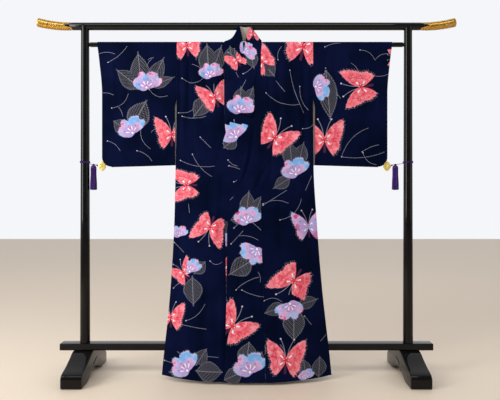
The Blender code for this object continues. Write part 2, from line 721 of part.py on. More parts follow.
def make_tie(side, word):
    """A cord wound round the post, leaving it towards the tassel's head."""
    radius = post_radius(CORD_Z) + CORD_RADIUS + 0.0008
    reach = abs(POST_X - abs(TASSEL_X[side]))
    leave = -math.acos(radius / reach)
    steps = int(CORD_TURNS * 16)
    points = []
    for i in range(steps + 1):
        angle = leave - (steps - i) * 2 * math.pi / 16
        drop = i * (2 * CORD_RADIUS + SEAM) / 16
        points.append((side * (POST_X - radius * math.cos(angle)), radius * math.sin(angle), CORD_Z - drop))
    head = Vector((TASSEL_X[side] + side * 0.0070, 0.0, TASSEL_TOP - 0.003))
    last = Vector(points[-1])
    points += [tuple(last.lerp(head, share)) for share in (0.5, 1.0)]
    place("tie_cord_" + word, tube("tie_cord_" + word, points, [CORD_RADIUS] * len(points), 1), PURPLE)


def make_tassel(side, word):
    """A turned head whose underside runs out in strands, fused to it at their roots."""
    n = STRANDS_ACROSS
    bm = bmesh.new()
    bmesh.ops.create_grid(bm, x_segments=n, y_segments=n, size=1.0)
    shoulder = TASSEL_TOP - 0.021
    for vertex in bm.verts:
        x, y = vertex.co.x, vertex.co.y
        disc = Vector((x * math.sqrt(1 - y * y / 2), y * math.sqrt(1 - x * x / 2)))
        vertex.co = (disc.x * (TASSEL_RADIUS - 0.0012), disc.y * (TASSEL_RADIUS - 0.0012), shoulder)
    strands = list(bm.faces)
    rim = [edge for edge in bm.edges if edge.is_boundary]
    ring = bmesh.ops.extrude_edge_only(bm, edges=rim)["geom"]
    profile = ((0.004, 1.0), (0.009, 0.86), (0.014, 0.50), (0.018, 0.40), (0.021, 0.28))
    for k, (rise, share) in enumerate(profile):
        verts = [item for item in ring if isinstance(item, bmesh.types.BMVert)]
        for vertex in verts:
            flat = Vector((vertex.co.x, vertex.co.y)).normalized() * share * (TASSEL_RADIUS - 0.0008)
            vertex.co = (flat.x, flat.y, shoulder + rise)
        edges = [item for item in ring if isinstance(item, bmesh.types.BMEdge)]
        if k < len(profile) - 1:
            ring = bmesh.ops.extrude_edge_only(bm, edges=edges)["geom"]
    bmesh.ops.contextual_create(bm, geom=edges)
    bmesh.ops.recalc_face_normals(bm, faces=bm.faces)
    bmesh.ops.inset_individual(bm, faces=strands, thickness=0.00045)
    tips = bmesh.ops.extrude_discrete_faces(bm, faces=strands)["faces"]
    for tip in tips:
        middle = tip.calc_center_median()
        spread = 0.0012 * Vector((middle.x, middle.y)) / TASSEL_RADIUS
        end = TASSEL_END + 14.0 * (middle.x**2 + middle.y**2)
        for vertex in tip.verts:
            vertex.co += Vector((spread.x, spread.y, end - shoulder))
    bmesh.ops.translate(bm, vec=(TASSEL_X[side], 0, 0), verts=bm.verts)
    place("tassel_" + word, mesh_from(bm, "tassel_" + word), PURPLE)


def flower_plate(name, x, y, z):
    """A four-lobed leaf of metal, facing along Y."""
    bm = bmesh.new()
    verts = []
    for i in range(24):
        angle = 2 * math.pi * i / 24
        lobe = 0.80 + 0.20 * abs(math.cos(2 * angle)) ** 0.8
        across_x, across_z = CLIP_HALF[0] * lobe * math.cos(angle), CLIP_HALF[1] * lobe * math.sin(angle)
        verts.append(bm.verts.new((x + across_x, y - CLIP_PLATE / 2, z + across_z)))
    pushed = bmesh.ops.extrude_face_region(bm, geom=[bm.faces.new(verts)])
    moved = [item for item in pushed["geom"] if isinstance(item, bmesh.types.BMVert)]
    bmesh.ops.translate(bm, vec=(0, CLIP_PLATE, 0), verts=moved)
    return mesh_from(bm, name)


def make_clip(side, word):
    """Two leaves on a pivot that hold the sleeve's corner, and the arm that joins them to the tassel."""
    x, z = CLIP_X[side], CLIP_Z
    off = SIDE_GAPE + CLOTH / 2 + SEAM + CLIP_PLATE / 2
    clip = place("clip_" + word, flower_plate("clip_" + word, x, -off, z), PALE_GILT)
    back = flower_plate("join_leaf_" + word, x, off, z)
    boss_x = x + side * 0.003
    boss = cylinder("join_boss_" + word, 0.0045, 2 * off + CLIP_PLATE + 0.004, (boss_x, 0, z), "Y", sides=16)
    start, end = TASSEL_X[side] - side * 0.0068, boss_x
    line = [(start, 0.0, TASSEL_TOP - 0.0035), (start - side * 0.006, 0.0, TASSEL_TOP - 0.007), (end, 0.0, z)]
    arm = tube("join_arm_" + word, line, [0.0016, 0.0022, 0.0022], 2)
    for name, mesh in (("leaf", back), ("boss", boss), ("arm", arm)):
        boolean(clip, cutter(f"join_{name}_{word}", mesh), "UNION")


def make_robe():
    body_panel("body_right", -1)
    body_panel("body_left", 1)
    overlap_panel("overlap_right", -1)
    overlap_panel("overlap_left", 1)
    sleeve("sleeve_right", -1)
    sleeve("sleeve_left", 1)
    band("collar", collar_shape(), COLLAR_CLOTH)
    lift = COLLAR_CLOTH / 2 + TUCK + OVER_CLOTH / 2
    stations = len(COLLAR_LEFT) + len(NECK_LEFT + NECK_BACK + NECK_RIGHT) + len(COLLAR_RIGHT)
    upper = collar_shape(OVER_COLLAR_ENDS, stations - OVER_COLLAR_ENDS, lift, OVER_COLLAR_INSET)
    band("over_collar", upper, OVER_CLOTH)


make_rails()
make_posts()
make_feet()
make_robe()
for side, word in ((-1, "right"), (1, "left")):
    make_tie(side, word)
    make_tassel(side, word)
    make_clip(side, word)
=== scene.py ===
import math

import bmesh
import bpy
import numpy as np
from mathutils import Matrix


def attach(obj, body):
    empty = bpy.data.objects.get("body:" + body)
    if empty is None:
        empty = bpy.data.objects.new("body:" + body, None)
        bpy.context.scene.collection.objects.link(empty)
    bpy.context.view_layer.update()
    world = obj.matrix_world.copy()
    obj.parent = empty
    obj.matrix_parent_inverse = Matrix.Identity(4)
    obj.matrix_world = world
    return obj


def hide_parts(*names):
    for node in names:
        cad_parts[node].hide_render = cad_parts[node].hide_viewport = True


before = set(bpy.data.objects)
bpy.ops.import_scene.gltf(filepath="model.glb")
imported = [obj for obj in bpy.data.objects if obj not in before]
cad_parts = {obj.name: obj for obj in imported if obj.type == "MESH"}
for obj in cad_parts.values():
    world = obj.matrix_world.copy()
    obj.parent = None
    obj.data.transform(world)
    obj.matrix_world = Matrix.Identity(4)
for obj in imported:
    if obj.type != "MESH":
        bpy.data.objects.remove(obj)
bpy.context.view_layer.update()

bpy.ops.object.select_all(action="DESELECT")


# The two body widths. Each is one length of printed cotton, hem to hem over the pole, with the neck cut out
# of its inner side. They hang in a flat tube: the back near the pole's plane and the front drawn forward
# towards the hem.

# The gap that a seam leaves, and how far the collar's sewn edge stays off a panel's.
SEAM, TUCK = 0.0003, 0.0006
POLE_Z, POLE_RADIUS = 1.5316, 0.011
WRAP = POLE_RADIUS + 0.0004 + 0.0008
CLOTH = 0.0011
FRONT_DEPTH, BACK_DEPTH, SIDE_DEPTH = 0.122, 0.0565, 0.066
HEM_MIDDLE, HEM_SIDE = 0.0115, 0.022
BACK_SEAM_X = -0.008
ARMHOLE_END, SIDE_SEAM_TOP = 1.280, 1.140
SIDE_GAPE = 0.0014
# How the sides and the front lean out towards the hem, and how square the tube is.
SIDE_LEAN, FRONT_LEAN, SQUARENESS = 1.1, 1.25, 3
# How far the fronts lie off each other, and the x between which each lap begins.
LAP_FRONT, LAP_BACK = 0.0050, 0.0045
LEFT_LAP, RIGHT_LAP = (0.25, 0.10), (-0.17, -0.10)
# Folds fade beyond this share of half the width, and laps over this much below the pole.
FADE, POLE_FADE = 0.94, 0.042
# Height, then the x of the robe's right and left side.
SIDES = (
    (1.545, -0.3225, 0.3076), (1.280, -0.3225, 0.3076), (0.966, -0.3260, 0.3085), (0.719, -0.3300, 0.3210),
    (0.430, -0.3440, 0.3420), (0.260, -0.3580, 0.3590), (0.135, -0.3710, 0.3730), (0.010, -0.3830, 0.3850),
)
# Height, then the x of the right and left front's seam with its overlap panel.
FRONT_SEAMS = (
    (1.545, -0.1120, 0.0710), (1.500, -0.1045, 0.0665), (1.270, -0.1035, 0.0660), (0.710, -0.0960, 0.0660),
    (0.366, -0.0900, 0.0770), (0.010, -0.0830, 0.0840),
)
# Large folds: x and height at the top, x and height at the bottom, bow to the side, half width, depth.
FRONT_FOLDS = (
    (-0.288, 1.515, -0.290, 0.960, 0.000, 0.014, -0.0060),
    (-0.309, 1.505, -0.311, 0.980, 0.000, 0.009, 0.0040),
    (0.262, 1.480, 0.264, 0.930, 0.000, 0.010, 0.0050), (0.283, 1.500, 0.286, 0.920, 0.003, 0.011, -0.0055),
    (0.152, 1.525, 0.160, 1.080, -0.006, 0.013, 0.0045),
    (0.172, 1.515, 0.182, 1.100, -0.006, 0.016, -0.0040),
    (0.120, 1.100, 0.098, 0.840, 0.004, 0.012, 0.0045), (0.034, 1.170, -0.034, 0.850, 0.014, 0.011, 0.0060),
    (0.064, 1.120, 0.010, 0.800, 0.010, 0.018, -0.0040),
    (-0.205, 0.900, -0.235, 0.150, 0.006, 0.040, -0.0035),
    (0.200, 0.820, 0.232, 0.150, -0.005, 0.042, -0.0035),
    (0.020, 0.560, 0.004, 0.020, 0.004, 0.030, -0.0040),
)
BACK_FOLDS = (
    (-0.180, 1.510, -0.200, 0.950, 0.005, 0.020, 0.0050),
    (0.170, 1.510, 0.190, 0.980, -0.005, 0.020, 0.0045),
    (-0.090, 0.800, -0.120, 0.060, 0.004, 0.035, 0.0030),
    (0.110, 0.760, 0.140, 0.060, 0.000, 0.035, 0.0030),
)
ROLL = (-0.1040, 1.535, -0.1030, 1.060, 0.000, 0.011, 0.0065)
# Small creases, in the same seven columns.
CREASES = (
    (-0.266, 1.500, -0.272, 1.150, 0.002, 0.009, 0.0048),
    (-0.232, 1.440, -0.226, 1.020, -0.003, 0.012, -0.0042),
    (-0.200, 1.505, -0.190, 1.250, 0.004, 0.010, 0.0042),
    (-0.140, 1.505, -0.136, 1.200, -0.003, 0.009, -0.0042),
    (0.100, 1.510, 0.104, 1.180, 0.002, 0.009, 0.0045), (0.215, 1.500, 0.222, 1.180, -0.004, 0.012, 0.0048),
    (0.240, 1.300, 0.238, 0.980, 0.002, 0.009, -0.0045),
    (-0.250, 1.240, -0.160, 1.090, 0.010, 0.011, 0.0042),
    (-0.240, 1.100, -0.246, 0.760, 0.003, 0.011, 0.0045),
    (-0.130, 0.960, -0.150, 0.560, 0.005, 0.013, -0.0048),
    (0.150, 0.900, 0.160, 0.520, -0.004, 0.013, 0.0048), (0.280, 0.860, 0.300, 0.300, 0.004, 0.015, 0.0051),
    (-0.290, 0.820, -0.318, 0.240, -0.004, 0.016, 0.0051),
    (-0.020, 0.700, -0.040, 0.330, 0.003, 0.012, 0.0045),
    (0.060, 0.640, 0.062, 0.240, -0.003, 0.012, -0.0042),
    (0.120, 0.520, 0.136, 0.060, 0.003, 0.018, 0.0054),
    (-0.180, 0.480, -0.196, 0.050, 0.004, 0.018, 0.0054),
    (0.010, 1.060, -0.034, 0.880, 0.006, 0.009, -0.0042),
    (0.110, 0.990, 0.030, 0.830, -0.006, 0.010, 0.0045),
    (0.240, 0.980, 0.110, 0.900, -0.012, 0.012, -0.0042),
    (-0.110, 0.420, -0.112, 0.020, 0.002, 0.014, -0.0045),
    (0.236, 0.440, 0.262, 0.030, 0.004, 0.020, -0.0054),
)

# Level creases left by packing: height and depth.
PACKED = ((0.228, 0.0007), (0.262, -0.0005), (0.560, 0.0006), (0.885, 0.0005), (1.205, 0.0005))
PACKED_WIDTH, PACKED_WAVE, UNEVEN = 0.0045, 0.012, 0.0011


def eased(start, end, value):
    """A smooth step from 0 at the start to 1 at the end."""
    t = np.clip((value - start) / (end - start), 0.0, 1.0)
    return t * t * (3 - 2 * t)


def through(rows, column=1):
    """A function that runs smoothly through a table's rows, from their first column to another."""
    table = np.array(sorted(tuple(row) for row in rows), float)
    key, value = table[:, 0], table[:, column]
    secant = np.diff(value) / np.diff(key)
    before, after = secant[:-1], secant[1:]
    turning = before * after <= 0
    middle = np.where(turning, 0.0, 2 * before * after / np.where(turning, 1.0, before + after))
    slope = np.concatenate([secant[:1], middle, secant[-1:]])

    def at(where):
        where = np.clip(where, key[0], key[-1])
        i = np.clip(np.searchsorted(key, where) - 1, 0, len(key) - 2)
        span = key[i + 1] - key[i]
        t = (where - key[i]) / span
        level = value[i] * (1 + 2 * t) * (1 - t) ** 2 + value[i + 1] * t * t * (3 - 2 * t)
        return level + span * (slope[i] * t * (1 - t) ** 2 - slope[i + 1] * t * t * (1 - t))

    return at


side_right, side_left = through(SIDES, 1), through(SIDES, 2)
seam_right, seam_left = through(FRONT_SEAMS, 1), through(FRONT_SEAMS, 2)


def hang(z):
    """How far down a height is: 0 at the pole, 1 at the hem."""
    return np.clip((POLE_Z - z) / (POLE_Z - HEM_MIDDLE), 0.0, 1.0)


def across(x, z):
    """Where a point is between the robe's sides: -1 at the right one, 1 at the left one."""
    right, left = side_right(z), side_left(z)
    return np.clip((2 * x - right - left) / (left - right), -1.0, 1.0)


def middle_y(z):
    return -SIDE_DEPTH * hang(z) ** SIDE_LEAN


def gape(z):
    return SIDE_GAPE + (WRAP - SIDE_GAPE) * eased(SIDE_SEAM_TOP, POLE_Z, z)


def relief(folds, x, z):
    """How far a table's folds raise the cloth."""
    total = np.zeros(np.broadcast(x, z).shape)
    for top_x, top_z, low_x, low_z, bow, half_width, depth in folds:
        s = (top_z - z) / (top_z - low_z)
        ends = eased(0.0, 0.22, s) * eased(1.0, 0.70, s)
        line = top_x + (low_x - top_x) * s + bow * 4 * s * (1 - s)
        total = total + depth * ends * np.exp(-(((x - line) / half_width) ** 2))
    return total


def packing_creases(x, z):
    """The faint level creases that folding leaves, and a slight unevenness of cotton that hangs."""
    level = np.zeros(np.broadcast(x, z).shape)
    for height, depth in PACKED:
        level = level + depth * np.exp(-(((z - height - PACKED_WAVE * np.sin(7 * x)) / PACKED_WIDTH) ** 2))
    uneven = UNEVEN * np.sin(31 * x + 9 * np.sin(3.1 * z)) * np.sin(6.3 * z + 2.0 * np.sin(11 * x))
    return (level + uneven) * eased(POLE_Z, POLE_Z - 0.06, z)


def front_y(x, z):
    u = np.abs(across(x, z))
    side = middle_y(z) - gape(z)
    deepest = -WRAP - FRONT_DEPTH * hang(z) ** FRONT_LEAN
    flat = side + (deepest - side) * (1 - u**SQUARENESS)
    folds = relief(FRONT_FOLDS, x, z) + relief(CREASES, x, z) + packing_creases(x, z)
    return flat + folds * eased(1.0, FADE, u)


def back_y(x, z):
    u = np.abs(across(x, z))
    side = middle_y(z) + gape(z)
    deepest = WRAP - BACK_DEPTH * hang(z)
    flat = side + (deepest - side) * (1 - u**SQUARENESS)
    folds = relief(BACK_FOLDS, x, z) + 0.8 * relief(CREASES, 0.05 - x, z) + packing_creases(x + 0.1, z)
    return flat - folds * eased(1.0, FADE, u)


def below_pole(z):
    return eased(POLE_Z, POLE_Z - POLE_FADE, z)


def left_front_y(x, z):
    return front_y(x, z) - LAP_FRONT * below_pole(z) * eased(*LEFT_LAP, x)


def right_front_y(x, z):
    lap = LAP_BACK * below_pole(z) * eased(*RIGHT_LAP, x)
    return front_y(x, z) + lap + relief((ROLL,), x, z)


class Socket:
    """An output of a material's node. Sums on it add Math nodes."""

    def __init__(self, tree, link):
        self.tree, self.link = tree, link

    def node(self, kind, settings, *inputs, output=0):
        """A new node of this tree: its settings first, then the value or link of each socket."""
        made = self.tree.nodes.new(kind)
        for name, value in settings.items():
            if name == "stops":
                stops = made.color_ramp.elements
                stops.remove(stops[1])
                stops[0].position, stops[0].color = value[0][0], (*value[0][1], 1.0)
                for at, colour in value[1:]:
                    stops.new(at).color = (*colour, 1.0)
            else:
                setattr(made, name, value)
        for i, value in enumerate(inputs):
            where = made.inputs[i]
            if isinstance(value, dict):
                for key, item in value.items():
                    self.feed(made.inputs[key], item)
            else:
                self.feed(where, value)
        return Socket(self.tree, made.outputs[output])

    def feed(self, where, value):
        if isinstance(value, Socket):
            self.tree.links.new(value.link, where)
        elif value is not None:
            where.default_value = (*value, 1.0) if where.type == "RGBA" and len(value) == 3 else value

    def math(self, operation, *others, clamp=False):
        return self.node("ShaderNodeMath", {"operation": operation, "use_clamp": clamp}, *others)

    def __add__(self, other):
        return self.math("ADD", self, other)

    def __radd__(self, other):
        return self.math("ADD", other, self)

    def __sub__(self, other):
        return self.math("SUBTRACT", self, other)

    def __rsub__(self, other):
        return self.math("SUBTRACT", other, self)

    def __mul__(self, other):
        return self.math("MULTIPLY", self, other)

    __rmul__ = __mul__

    def __truediv__(self, other):
        return self.math("DIVIDE", self, other)

    def __pow__(self, other):
        return self.math("POWER", self, other)

    def __neg__(self):
        return self.math("MULTIPLY", self, -1.0)

    def size(self):
        return self.math("ABSOLUTE", self)

    def larger(self, other):
        return self.math("MAXIMUM", self, other)

    def root(self):
        return self.math("SQRT", self)

    def kept(self):
        """The same number, held between 0 and 1."""
        return self.math("ADD", self, 0.0, clamp=True)

    def past(self, edge, soft):
        """0 below edge and 1 above edge + soft."""
        smooth = {"interpolation_type": "SMOOTHSTEP"}
        return self.node("ShaderNodeMapRange", smooth, self, edge, edge + soft, 0.0, 1.0)

    def between(self, low, high, soft):
        """1 from low to high, with soft ends."""
        return self.past(low, soft) * (1.0 - self.past(high, soft))

    def sine(self):
        return self.math("SINE", self)

    def part(self, axis):
        return self.node("ShaderNodeSeparateXYZ", {}, self, output="XYZ".index(axis))

    def mixed(self, share, other):
        """This colour turned into another by a share."""
        ends = {"Factor": share, 6: self, 7: other}
        return self.node("ShaderNodeMix", {"data_type": "RGBA"}, ends, output=2)

    def noise(self, scale, detail, **more):
        """Cloudy values from 0 to 1 at this place."""
        feed = {"Vector": self, "Scale": scale, "Detail": detail, **more}
        return self.node("ShaderNodeTexNoise", {}, feed)

    def ramp(self, *stops):
        """This number as a colour, from levels with the colour at each."""
        return self.node("ShaderNodeValToRGB", {"stops": stops}, self)

    def bump(self, strength, distance):
        """The normals of a surface that is raised by this number."""
        return self.node("ShaderNodeBump", {}, {"Strength": strength, "Distance": distance, "Height": self})

    def feeds(self, shader, name):
        self.tree.links.new(self.link, shader.inputs[name])


def material(name, colour, roughness, **sockets):
    """A Principled material, its shader and a first socket to build from."""
    made = bpy.data.materials.new(name)
    made.use_nodes = True
    shader = made.node_tree.nodes["Principled BSDF"]
    shader.inputs["Base Color"].default_value = (*colour, 1.0)
    shader.inputs["Roughness"].default_value = roughness
    for key, value in sockets.items():
        shader.inputs[key.replace("_", " ")].default_value = value
    place = made.node_tree.nodes.new("ShaderNodeTexCoord")
    return made, shader, Socket(made.node_tree, place.outputs["Object"])


def linear(red, green, blue):
    """A screen colour, 0 to 255 each, as light."""
    return tuple(((c / 255 + 0.055) / 1.055) ** 2.4 if c > 10 else c / 3294.6 for c in (red, green, blue))


# The print is laid on face by face: each has its nearest figure, and its own place within that figure.

OVER_KINDS = {"coral": 1, "blossom": 2, "lilac": 3}
KIND_STEP = 8.0
LEAF_HALF_WIDTH = 0.3
TWIG_UNIT = 10.0
LAID = 1
# How far a figure, a leaf and a twig reach: in its size, its half width and length, and metres.
FIGURE_REACH, LEAF_REACH, TWIG_REACH = 1.5, (1.15, 0.56), 0.010
TWIG_START, TWIG_END = 0.003, 0.0005
FIGURE_SPACING = 0.19
# Butterflies and blossoms: kind, x, height, turn in degrees, size.
OVER = {
    "sleeve_right": (
        ("coral", -0.345, 1.112, 0, 0.11), ("blossom", -0.462, 1.33, 0, 0.082),
        ("blossom", -0.528, 1.121, 20, 0.082),
    ),
    "body_right": (
        ("coral", -0.276, 1.523, 8, 0.102), ("blossom", -0.168, 1.381, 0, 0.069),
        ("coral", -0.145, 1.283, 20, 0.101), ("coral", -0.274, 0.878, 90, 0.101),
        ("coral", -0.164, 0.688, 160, 0.105), ("blossom", -0.308, 0.648, 0, 0.05),
        ("blossom", -0.256, 0.489, 0, 0.064), ("coral", -0.283, 0.48, 35, 0.078),
        ("coral", -0.342, 0.279, 0, 0.092), ("blossom", -0.262, 0.055, 36, 0.086),
    ),
    "overlap_left": (
        ("blossom", 0.047, 0.59, 140, 0.078), ("coral", -0.061, 0.253, -45, 0.119),
        ("blossom", 0.016, 0.057, 10, 0.092), ("blossom", 0.002, 0.711, 0, 0.078),
    ),
    "body_left": (
        ("coral", 0.262, 1.518, -12, 0.134), ("coral", 0.13, 1.093, -35, 0.119),
        ("blossom", 0.225, 0.928, 15, 0.082), ("lilac", 0.282, 0.688, 5, 0.101),
        ("coral", 0.212, 0.449, 145, 0.124), ("blossom", 0.194, 0.348, 180, 0.078),
        ("coral", 0.174, 0.104, -5, 0.119), ("blossom", 0.261, 0.023, 0, 0.046),
        ("coral", 0.071, 1.447, 45, 0.092),
    ),
    "sleeve_left": (
        ("coral", 0.531, 1.334, 100, 0.119), ("coral", 0.361, 1.089, 0, 0.124),
        ("blossom", 0.32, 1.334, -90, 0.073), ("coral", 0.69, 1.47, 90, 0.05),
    ),
    "collar": (
        ("coral", -0.044, 1.456, 30, 0.069), ("blossom", -0.034, 1.216, -14, 0.082),
        ("blossom", -0.048, 1.098, 28, 0.086), ("coral", 0.03, 1.577, 0, 0.055),
        ("blossom", -0.012, 1.492, -60, 0.060),
    ),
}
# Leaves: x and height of the stalk's end, x and height of the tip, half width.
UNDER = {
    "sleeve_right": (
        (-0.485, 1.334, -0.501, 1.484, 0.041), (-0.49, 1.325, -0.597, 1.409, 0.037),
        (-0.444, 1.344, -0.385, 1.461, 0.032), (-0.444, 1.334, -0.339, 1.376, 0.023),
        (-0.533, 1.139, -0.466, 1.265, 0.05), (-0.551, 1.13, -0.616, 1.176, 0.032),
    ),
    "body_right": (
        (-0.173, 1.39, -0.183, 1.526, 0.041), (-0.159, 1.39, -0.118, 1.517, 0.032),
        (-0.177, 1.279, -0.241, 1.195, 0.037), (-0.243, 0.462, -0.237, 0.344, 0.041),
        (-0.234, 0.48, -0.185, 0.533, 0.027), (-0.22, 0.057, -0.107, 0.053, 0.041),
        (-0.273, 0.049, -0.343, 0.04, 0.032), (-0.221, 0.082, -0.177, 0.15, 0.027),
    ),
    "overlap_left": (
        (-0.002, 0.738, 0.011, 0.846, 0.032), (0.034, 0.738, 0.07, 0.828, 0.027),
        (-0.011, 0.729, -0.07, 0.72, 0.023), (0.025, 0.541, -0.073, 0.48, 0.041),
        (0.088, 0.577, 0.173, 0.559, 0.037), (-0.002, 0.082, 0.012, 0.185, 0.041),
        (0.034, 0.082, 0.069, 0.142, 0.027), (-0.019, 0.057, -0.098, 0.023, 0.032),
    ),
    "body_left": (
        (0.207, 0.965, 0.199, 1.07, 0.037), (0.234, 0.965, 0.262, 1.07, 0.032),
        (0.198, 0.91, 0.125, 0.864, 0.027), (0.211, 0.331, 0.21, 0.189, 0.046),
        (0.229, 0.34, 0.318, 0.362, 0.027), (0.176, 0.34, 0.082, 0.309, 0.027),
        (0.261, 0.031, 0.253, 0.104, 0.027), (0.322, 0.023, 0.328, 0.108, 0.032),
        (0.081, 1.437, 0.127, 1.381, 0.032),
    ),
    "sleeve_left": (
        (0.366, 1.409, 0.387, 1.186, 0.041),
    ),
    "collar": (
        (-0.067, 1.447, -0.076, 1.517, 0.032), (-0.03, 1.241, -0.025, 1.325, 0.032),
        (-0.002, 1.241, 0.03, 1.325, 0.027), (-0.048, 1.093, -0.103, 1.047, 0.032),
        (0.016, 1.493, 0.034, 1.418, 0.027),
    ),
}
# Twigs: x and height of both ends, bow to the side, and whether it starts with a dot.
TWIGS = {
    "sleeve_right": (
        (-0.686, 1.484, -0.607, 1.484, 0.009, 0), (-0.641, 1.447, -0.552, 1.521, -0.009, 1),
        (-0.674, 1.306, -0.618, 1.297, 0.005, 0), (-0.626, 1.237, -0.549, 1.302, -0.018, 1),
        (-0.479, 1.172, -0.445, 1.047, -0.027, 1), (-0.45, 1.322, -0.365, 1.292, -0.018, 1),
        (-0.599, 1.246, -0.575, 1.2, 0.005, 0), (-0.441, 1.121, -0.414, 1.139, 0.005, 0),
        (-0.455, 1.456, -0.427, 1.465, 0.005, 0), (-0.459, 1.428, -0.427, 1.47, 0.005, 1),
        (-0.646, 1.084, -0.586, 1.038, 0.009, 1), (-0.508, 1.038, -0.439, 0.992, 0.009, 1),
    ),
    "body_right": (
        (-0.297, 1.372, -0.191, 1.381, -0.027, 1), (-0.251, 1.437, -0.187, 1.386, 0.009, 0),
        (-0.314, 1.213, -0.223, 1.255, -0.018, 1), (-0.296, 1.195, -0.186, 1.195, -0.009, 1),
        (-0.212, 1.098, -0.162, 1.047, 0.0, 1), (-0.303, 0.992, -0.143, 0.965, -0.014, 1),
        (-0.248, 1.02, -0.125, 0.901, -0.018, 1), (-0.33, 0.617, -0.284, 0.573, 0.0, 1),
        (-0.163, 0.537, -0.109, 0.533, -0.014, 1), (-0.331, 0.41, -0.278, 0.445, 0.005, 1),
        (-0.271, 0.271, -0.184, 0.348, -0.014, 1), (-0.293, 0.253, -0.178, 0.236, 0.0, 1),
        (-0.37, 0.087, -0.282, 0.074, 0.0, 1), (-0.309, 0.133, -0.273, 0.091, 0.005, 0),
        (-0.182, 0.121, -0.124, 0.116, 0.0, 1), (-0.233, 1.456, -0.215, 1.503, 0.005, 0),
        (-0.264, 0.792, -0.259, 0.751, 0.0, 0),
    ),
    "overlap_left": (
        (-0.046, 0.41, 0.056, 0.467, 0.009, 1), (-0.02, 0.41, 0.083, 0.379, -0.005, 1),
        (0.052, 0.489, 0.061, 0.445, 0.005, 0), (-0.056, 0.684, -0.002, 0.738, 0.0, 1),
        (-0.069, 0.613, -0.015, 0.671, 0.0, 1), (0.025, 0.711, 0.07, 0.671, 0.0, 1),
        (-0.038, 0.648, 0.052, 0.63, 0.009, 0), (-0.015, 0.15, -0.023, 0.099, 0.005, 0),
    ),
    "body_left": (
        (0.09, 1.302, 0.245, 1.251, -0.023, 1), (0.136, 1.358, 0.177, 1.306, 0.0, 0),
        (0.2, 1.409, 0.264, 1.213, -0.009, 1), (0.246, 1.334, 0.287, 1.223, -0.014, 1),
        (0.258, 1.139, 0.314, 1.176, -0.014, 1), (0.075, 0.787, 0.184, 0.855, 0.0, 1),
        (0.075, 0.792, 0.188, 0.796, 0.014, 1), (0.151, 0.72, 0.251, 0.819, -0.023, 1),
        (0.27, 0.855, 0.298, 0.919, 0.0, 0), (0.078, 0.362, 0.158, 0.357, 0.014, 1),
        (0.259, 0.292, 0.29, 0.253, 0.0, 1), (0.333, 0.176, 0.36, 0.202, 0.0, 0),
        (0.148, 0.172, 0.174, 0.125, 0.005, 0), (0.249, 0.18, 0.2, 0.125, -0.009, 1),
        (0.145, 1.456, 0.164, 1.521, 0.009, 1), (0.082, 0.172, 0.073, 0.099, 0.005, 0),
    ),
    "sleeve_left": (
        (0.524, 1.503, 0.593, 1.456, 0.014, 1), (0.593, 1.456, 0.671, 1.484, 0.014, 0),
        (0.482, 1.442, 0.514, 1.409, 0.005, 0), (0.398, 1.311, 0.434, 1.279, 0.005, 1),
        (0.587, 1.386, 0.666, 1.4, -0.009, 1), (0.44, 1.01, 0.565, 1.144, 0.023, 1),
        (0.44, 1.01, 0.641, 1.033, -0.014, 1), (0.536, 1.033, 0.614, 1.066, 0.005, 1),
        (0.54, 1.029, 0.603, 0.974, -0.014, 1), (0.28, 0.988, 0.317, 1.01, 0.0, 0),
        (0.362, 1.517, 0.432, 1.535, 0.005, 1),
    ),
    "collar": (
        (-0.118, 1.493, -0.104, 1.447, 0.005, 0), (-0.049, 1.4, -0.035, 1.372, 0.0, 0),
        (-0.016, 1.39, 0.03, 1.428, -0.005, 1), (-0.025, 1.316, -0.002, 1.362, 0.0, 1),
        (0.016, 1.292, 0.071, 1.26, 0.009, 1), (0.025, 1.251, 0.117, 1.241, 0.014, 1),
        (-0.057, 1.176, -0.048, 1.126, 0.0, 1), (-0.084, 0.992, -0.043, 0.965, -0.005, 1),
        (-0.08, 0.965, 0.025, 0.91, 0.009, 1), (-0.057, 0.892, 0.025, 0.91, 0.005, 1),
        (-0.074, 0.81, -0.029, 0.855, 0.0, 0), (-0.121, 1.084, -0.084, 1.038, 0.0, 0),
    ),
}


def scattered(seed, low, high):
    """Figures for a stretch that is turned away: butterflies, blossoms with leaves, and twigs."""
    draw = np.random.default_rng(seed)
    over, under, twigs = [], [], []
    (left, bottom), (right, top) = low, high
    rows = max(1, round((top - bottom) / FIGURE_SPACING))
    for row in range(rows):
        z = bottom + (row + 0.5) * (top - bottom) / rows
        spots = (0.30, 0.82) if row % 2 else (0.04, 0.56)
        for k, share in enumerate(spots):
            x = left + (right - left) * (share + draw.uniform(-0.06, 0.06))
            height = z + draw.uniform(-0.03, 0.03)
            coral = (row + k) % 2 == 0
            turn = draw.uniform(-60, 60) + (180 if draw.uniform() < 0.3 else 0)
            size = draw.uniform(0.095, 0.118) if coral else draw.uniform(0.072, 0.086)
            over.append(("coral" if coral else "blossom", x, height, turn, size))
            if not coral:
                for lean in (-50, 20, 75)[: 2 + draw.integers(2)]:
                    angle = math.radians(turn + 90 + lean)
                    way = np.array([math.cos(angle), math.sin(angle)])
                    middle = np.array([x, height])
                    start, end = middle + way * 0.03, middle + way * draw.uniform(0.12, 0.15)
                    under.append((*start, *end, 0.036))
            angle = draw.uniform(0, math.tau)
            for lean in (0.0, 0.7):
                start = np.array([x, height]) + 0.15 * np.array([math.cos(angle), math.sin(angle)])
                end = start - 0.10 * np.array([math.cos(angle + lean), math.sin(angle + lean)])
                twigs.append((*start, *end, draw.uniform(-0.02, 0.02), 1))
    return over, under, twigs


def local_over(point, rows):
    """Each point's nearest figure, and its place in it."""
    best = np.full(len(point), FIGURE_REACH)
    chosen = np.full(len(point), -1)
    for i, (_, x, z, turn, size) in enumerate(rows):
        away = np.hypot(point[:, 0] - x, point[:, 1] - z) / size
        nearer = away < best
        best[nearer], chosen[nearer] = away[nearer], i
    return chosen


